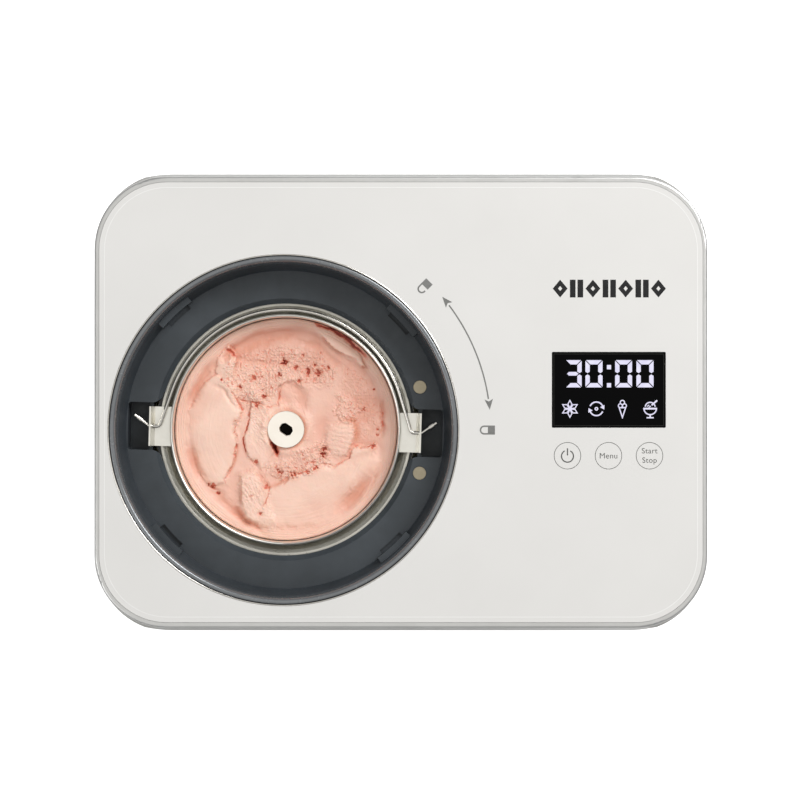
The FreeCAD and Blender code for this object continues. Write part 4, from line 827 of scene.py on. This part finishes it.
class IceTop:
    """The ice cream's top over a grid of places u, v in mm from the well's axis.

    height is in mm above the mean level; the painted shade of troughs, slab feet and gaps, the pit colour and
    the crumb, from 0 to 1, become its paint.
    """

    def __init__(self, u, v):
        self.u, self.v, self.r = u, v, np.hypot(u, v)
        self.wobble = self.noise(0.22, 11) * 1.3 + self.noise(0.9, 15, 3) * 0.5
        self.bent_u = u + 2.4 * self.noise(0.10, 13) + 0.45 * self.noise(0.7, 17, 3)
        self.bent_v = v + 2.4 * self.noise(0.10, 19) + 0.45 * self.noise(0.7, 23, 3)
        self.speckle = self.noise(1.1, 51)
        self.height = self.noise(0.04, 3, 3) * 2.8
        self.crumb = np.full(u.shape, 0.08)
        # The painted-shade channel, started with faint random darker blotches.
        self.painted_shade = np.clip(-0.15 * self.noise(0.05, 31), 0, 1)
        self.pit = np.zeros(u.shape)

    def noise(self, scale, seed, octaves=4):
        return fractal(self.u, self.v, scale, seed, octaves)

    def inside(self, points, bend):
        return depth_inside(self.bent_u, self.bent_v, points) + self.wobble * bend

    # Painted shade: darkens the ice cream's colour where shade falls.
    def shade(self, amount):
        self.painted_shade = np.maximum(self.painted_shade, amount)

    # Pit colour: red where weak, near-black painted shade where strongest.
    def redden(self, amount):
        self.pit = np.maximum(self.pit, amount)

    def crumble(self, amount):
        self.crumb = np.maximum(self.crumb, amount)

    def slabs(self):
        """Slabs with a step at the edge, a painted shade at its foot, and softer where the mass has melted.
        """
        melted = step(-0.05, 0.45, self.noise(0.055, 25, 2))
        uneven = np.clip(0.6 + 0.5 * self.noise(0.07, 27, 2), 0.15, 1)
        waves = self.noise(0.06, 21, 2) * 0.9
        for points, level, tilt_x, tilt_y, soft, rough in SLABS:
            middle = np.mean(points, axis=0)
            inside = self.inside(points, 0.3 + 0.8 * rough)
            border = soft * (0.7 + 3.5 * melted)
            share = step(-border, border, inside)
            plane = RELIEF * level + tilt_x * (self.u - middle[0]) + tilt_y * (self.v - middle[1]) + waves
            raised = plane + 0.9 * (1 - np.exp(-np.maximum(inside, 0) / 3.0))
            drop = np.clip(raised - self.height, 0, 2.2) * soft / border
            foot = bell(inside + border, 1.5 * soft)
            self.height = self.height * (1 - share) + raised * share
            self.crumb = self.crumb * (1 - share) + rough * share
            # Painted shade: taken off the slab's top and laid at the foot of its step.
            self.painted_shade = self.painted_shade * (1 - 0.6 * share)
            self.shade(0.3 * foot * drop * uneven)

    def rough_ground(self):
        """Crumbly patches, and a little crumb round the hub."""
        for points, lift, strength, border in ROUGH:
            share = step(-border, border, self.inside(points, 3.0))
            self.height += lift * share
            self.crumble(strength * share)
        self.crumble(0.3 * step(24, 14, self.r))

    def hollows(self):
        """Soft troughs that the spatula left, with a painted shade along them."""
        for points, half, depth, trough_shade in HOLLOWS:
            distance, along = from_line(self.bent_u, self.bent_v, points)
            dip = bell(distance, half) * fading(along, 0.04, 0.5)
            self.height -= RELIEF * depth * dip
            # Painted shade along each trough.
            self.shade(trough_shade * dip)
            self.crumb = self.crumb * (1 - 0.7 * dip)

    def creases(self):
        """Cracks with a red bottom that deepens to painted shade, and painted shade along their sides; ragged
        ones are broken into short runs.
        """
        short_runs = step(-0.3, 0.4, self.noise(0.3, 41, 3) + 0.5 * self.speckle)
        swelling = 0.7 + 0.9 * np.abs(self.noise(0.3, 43))
        for points, half, depth, redness, ragged in CREASES:
            shift = self.wobble * ragged
            distance, along = from_line(self.bent_u + shift * 0.7, self.bent_v - shift * 0.6, points)
            taper = fading(along, 0.03, 0.6)
            broken = short_runs if ragged > 0.5 else 1.0
            cut = bell(distance, 1.2 * half) * taper * (0.4 + 0.6 * broken)
            self.height -= 1.3 * depth * cut
            self.redden(redness * bell(distance, half * swelling) * taper * broken)
            # Painted shade along both sides of the crack.
            self.shade(0.45 * redness * bell(distance, 3.4 * half) * taper)

    def pits(self):
        """Open red pits, near-black painted shade where deepest, with a frayed edge and a painted shade round
        them.
        """
        sideways = self.noise(0.5, 53, 3)
        for x, y, radius, depth, redness in PITS:
            fray = 0.9 * radius
            distance = np.hypot(self.u - x + fray * self.wobble, self.v - y + fray * sideways)
            core = bell(distance, 1.5 * radius)
            holes = step(0.3, 0.6, core * (0.75 + 1.6 * self.speckle))
            self.height -= 0.7 * depth * holes + 0.3 * depth * core
            self.redden(redness * holes * (0.45 + 0.55 * core))
            # Painted shade round each pit.
            self.shade(0.5 * bell(distance, 2.6 * radius))
            self.crumble(0.7 * core)

    def crumbs(self):
        """Lumps, and small red pores between them, where the ground is crumbly, with a painted shade between
        the lumps.
        """
        grains = fractal(self.bent_u, self.bent_v, 0.75, 61)
        pores = step(0.22, 0.5, grains) * step(0.35, 0.9, self.crumb + 0.5 * self.noise(0.14, 63, 2))
        lumps = np.abs(self.noise(0.5, 71)) * 2.0 - 0.5
        self.height += self.crumb * (lumps * 0.8 + 0.2 * self.noise(1.1, 73, 2)) - 0.3 * pores
        self.redden(0.36 * pores)
        # Painted shade between the lumps.
        self.shade(np.clip(self.crumb * (0.1 - 0.4 * lumps), 0, 0.16))

    def spatula_marks(self):
        """A combed patch, two wrinkled patches, wiped streaks and a heaped ridge."""
        u, v, r = self.u, self.v, self.r
        combed = step(26, 29, u) * step(44, 40, u) * step(-19, -14, v) * step(8, 4, v)
        self.height += 0.07 * combed * np.sin(v * 2.0 + u * 0.5 + 5 * self.noise(0.1, 81))
        folds = 1 - np.abs(fractal(u * 0.8 + v * 0.5, v * 0.35 - u * 0.2, 0.35, 91)) * 3.0
        wrinkled = step(13, 5, np.hypot(u + 19, (v + 40) * 0.7))
        wrinkled += 0.7 * step(12, 5, np.hypot(u + 17, (v - 2) * 0.5))
        self.height += 0.5 * np.clip(folds, 0, 1) * np.clip(wrinkled, 0, 1)
        streaks = fractal(np.arctan2(v, u) * 7.0, r * 1.5, 0.9, 101, 3)
        self.height += 0.14 * streaks * step(30, 56, r) * (1 - self.crumb)
        self.height += 0.05 * self.noise(0.5, 103, 3)
        ridge, _ = from_line(self.bent_u, self.bent_v, [(-20, 22), (-13, 18), (-10, 10), (-13, 2)])
        self.height += 1.4 * bell(ridge, 3.0)

    def hub_and_rim(self):
        """A collar heaped round the hub, a painted shade in the gap beside it on one side, and a smooth skirt
        at the bowl with less painted shade.
        """
        r = self.r
        self.height += 1.9 * bell(r - 14.4, 2.6) * (0.6 + 0.5 * self.noise(0.12, 111))
        # Painted shade in the gap round the hub, on one side only.
        self.shade(0.65 * bell(r - 12.3, 1.1) * step(-8, 10, self.u))
        skirt = step(61.5, 67.0, r + 1.2 * self.noise(0.08, 121))
        self.height = self.height * (1 - 0.8 * skirt) + skirt * (1.1 + 0.12 * np.sin(r * 4.2))
        self.height -= 0.6 * step(69.2, ICE_RIM, r)
        # Less painted shade on the skirt.
        self.painted_shade = self.painted_shade * (1 - 0.45 * skirt)

    def paint(self):
        """The mesh's paint layer: painted shade, pit colour, crumb, and a tone that is lighter on raised
        ground as painted light.
        """
        # Painted shade on low ground, and a tone lighter on high ground as painted light.
        self.shade(np.clip(-0.16 * self.height, 0, 0.4))
        tone = np.clip(0.45 + 0.2 * self.height, 0, 1)
        return [*(np.clip(share, 0, 1) for share in (self.painted_shade, self.pit, self.crumb)), tone]


def sculpted(u, v):
    """The finished top: big shapes first, then what lies on them."""
    top = IceTop(u, v)
    top.slabs()
    top.rough_ground()
    top.hollows()
    top.creases()
    top.pits()
    top.crumbs()
    top.spatula_marks()
    top.hub_and_rim()
    return top


def ice_cream():
    """The ice cream in the bowl, as the spatula left it, round the paddle's hub."""
    rings, spokes = ((190, 1100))
    radii = ICE_BORE + (ICE_RIM - ICE_BORE) * np.linspace(0, 1, rings)
    angles = 2 * np.pi * np.arange(spokes) / spokes
    r, a = np.meshgrid(radii, angles, indexing="ij")
    u, v = r * np.cos(a), r * np.sin(a)
    surface = sculpted(u, v)
    top = np.stack([WELL[0] + u, WELL[1] + v, ICE_LEVEL + surface.height], axis=-1).reshape(-1, 3)
    wall = [(ICE_RIM, 120.0), (ICE_RIM, 82.0), (ICE_RIM - 1.4, 77.6), (ICE_RIM - 5.5, ICE_FLOOR),
            (ICE_BORE, ICE_FLOOR), (ICE_BORE, 120.0)]
    loops = [np.stack([WELL[0] + radius * np.cos(angles), WELL[1] + radius * np.sin(angles),
                       np.full(spokes, z)], axis=-1) for radius, z in wall]
    points = np.concatenate([top, *loops])
    order = [rings - 1, *range(rings, rings + len(wall)), 0]
    rows = [(i, i + 1) for i in range(rings - 1)] + list(zip(order, order[1:]))
    here = np.arange(spokes)
    beside = (here + 1) % spokes
    faces = np.concatenate([np.stack([i * spokes + here, j * spokes + here, j * spokes + beside,
                                      i * spokes + beside], axis=-1) for i, j in rows])
    piece = mesh_piece("ice_cream_mass", points.tolist(), faces.tolist(), SLOT_MATERIALS["ice_cream"],
                       "paddle", sharp_deg=80.0)
    paint = np.zeros((len(points), 4), np.float32)
    for channel, values in enumerate(surface.paint()):
        paint[:len(top), channel] = values.ravel()
    layer = piece.data.attributes.new("ice_paint", "FLOAT_COLOR", "POINT")
    layer.data.foreach_set("color", paint.ravel())
    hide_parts("ice_cream")


arrow_arc()
padlock("padlock_open", 45.5, 124.6, True)
padlock("padlock_shut", 0.0, 126.6, False)
touch_signs()
ornament()
panel_line()
display()
lens_frame()
trim_ring()
socket_shadow_plug()
ice_cream()


# ------------------------------------------------------------------ studio

# Sky seen by the object: height from 0 (horizon) to 1 (straight up), colour.
SKY = [
    (0.05, (0.30, 0.30, 0.31)),
    (0.45, (0.55, 0.55, 0.56)),
    (0.75, (1.0, 1.0, 0.995)),
    (0.96, (1.7, 1.68, 1.62)),
]
SKY_STRENGTH = 0.47
PAPER_GLOW = 0.75                  # the paper's own light, seen by the camera and by nothing else


def floor():
    """White paper, 8 m square."""
    mesh = bpy.data.meshes.new("floor")
    mesh.from_pydata([(-4, -4, 0), (4, -4, 0), (4, 4, 0), (-4, 4, 0)], [], [(0, 1, 2, 3)])
    n = Nodes("floor_paper")
    n.colour(n.mix(n.spread(n.noise(6.0, 3.0), 0.3, 0.7), (0.93, 0.93, 0.925), (0.95, 0.95, 0.945)))
    n.roughness(n.spread(n.noise(40.0), 0.3, 0.7, 0.7, 0.85))
    n.bump(n.noise(500.0), 0.05, 0.0001)
    n.set(Emission_Color=(1.0, 1.0, 1.0, 1.0))
    seen = n.add("ShaderNodeLightPath").outputs["Is Camera Ray"]
    n.link(n.math("MULTIPLY", seen, PAPER_GLOW), n.shader.inputs["Emission Strength"])
    mesh.materials.append(n.material)
    plane = bpy.data.objects.new("floor", mesh)
    bpy.context.scene.collection.objects.link(plane)


def softbox(name, place, aim, size, power):
    """A rectangular light at a place in m, turned towards its aim."""
    light = bpy.data.lights.new(name, "AREA")
    light.shape = "RECTANGLE"
    light.size, light.size_y = size
    light.energy = power
    lamp = bpy.data.objects.new(name, light)
    bpy.context.scene.collection.objects.link(lamp)
    lamp.location = place
    away = Vector([a - b for a, b in zip(aim, place)])
    lamp.rotation_mode = "QUATERNION"
    lamp.rotation_quaternion = away.to_track_quat("-Z", "Y")


def world():
    """Pale studio: bright overhead and greyer towards the horizon, but plain white to the camera."""
    studio = bpy.data.worlds.new("studio")
    bpy.context.scene.world = studio
    studio.use_nodes = True
    tree = studio.node_tree
    tree.nodes.clear()
    place = tree.nodes.new("ShaderNodeTexCoord").outputs["Generated"]
    split = tree.nodes.new("ShaderNodeSeparateXYZ")
    ramp = tree.nodes.new("ShaderNodeValToRGB")
    stops = ramp.color_ramp.elements
    stops[0].position, stops[1].position = SKY[0][0], SKY[-1][0]
    for height, _ in SKY[1:-1]:
        stops.new(height)
    for stop, (_, colour) in zip(stops, SKY):
        stop.color = (*colour, 1)
    sky = tree.nodes.new("ShaderNodeBackground")
    sky.inputs["Strength"].default_value = SKY_STRENGTH
    white = tree.nodes.new("ShaderNodeBackground")
    white.inputs["Color"].default_value = (1, 1, 1, 1)
    white.inputs["Strength"].default_value = 1.0
    path = tree.nodes.new("ShaderNodeLightPath")
    mix = tree.nodes.new("ShaderNodeMixShader")
    out = tree.nodes.new("ShaderNodeOutputWorld")
    tree.links.new(place, split.inputs[0])
    tree.links.new(split.outputs["Z"], ramp.inputs["Fac"])
    tree.links.new(ramp.outputs["Color"], sky.inputs["Color"])
    tree.links.new(path.outputs["Is Camera Ray"], mix.inputs["Fac"])
    tree.links.new(sky.outputs[0], mix.inputs[1])
    tree.links.new(white.outputs[0], mix.inputs[2])
    tree.links.new(mix.outputs[0], out.inputs["Surface"])


def camera():
    """Straight above the middle of the machine, 1.7 m over its glass."""
    lens = bpy.data.cameras.new("camera")
    lens.lens, lens.sensor_width = 123.6, 36.0
    lens.clip_end = 20.0
    view = bpy.data.objects.new("camera", lens)
    bpy.context.scene.collection.objects.link(view)
    view.location = (-0.0006, 0.0014, 1.9)
    bpy.context.scene.camera = view


floor()
softbox("key", (1.15, 1.25, 1.75), (-0.03, 0.0, 0.15), (1.2, 1.2), 42.0)
softbox("fill", (-1.5, -0.7, 1.6), (0.0, 0.0, 0.15), (1.2, 1.2), 8.0)
world()
camera()
bpy.context.scene.view_settings.view_transform = "Standard"
bpy.context.scene.view_settings.exposure = 0.0
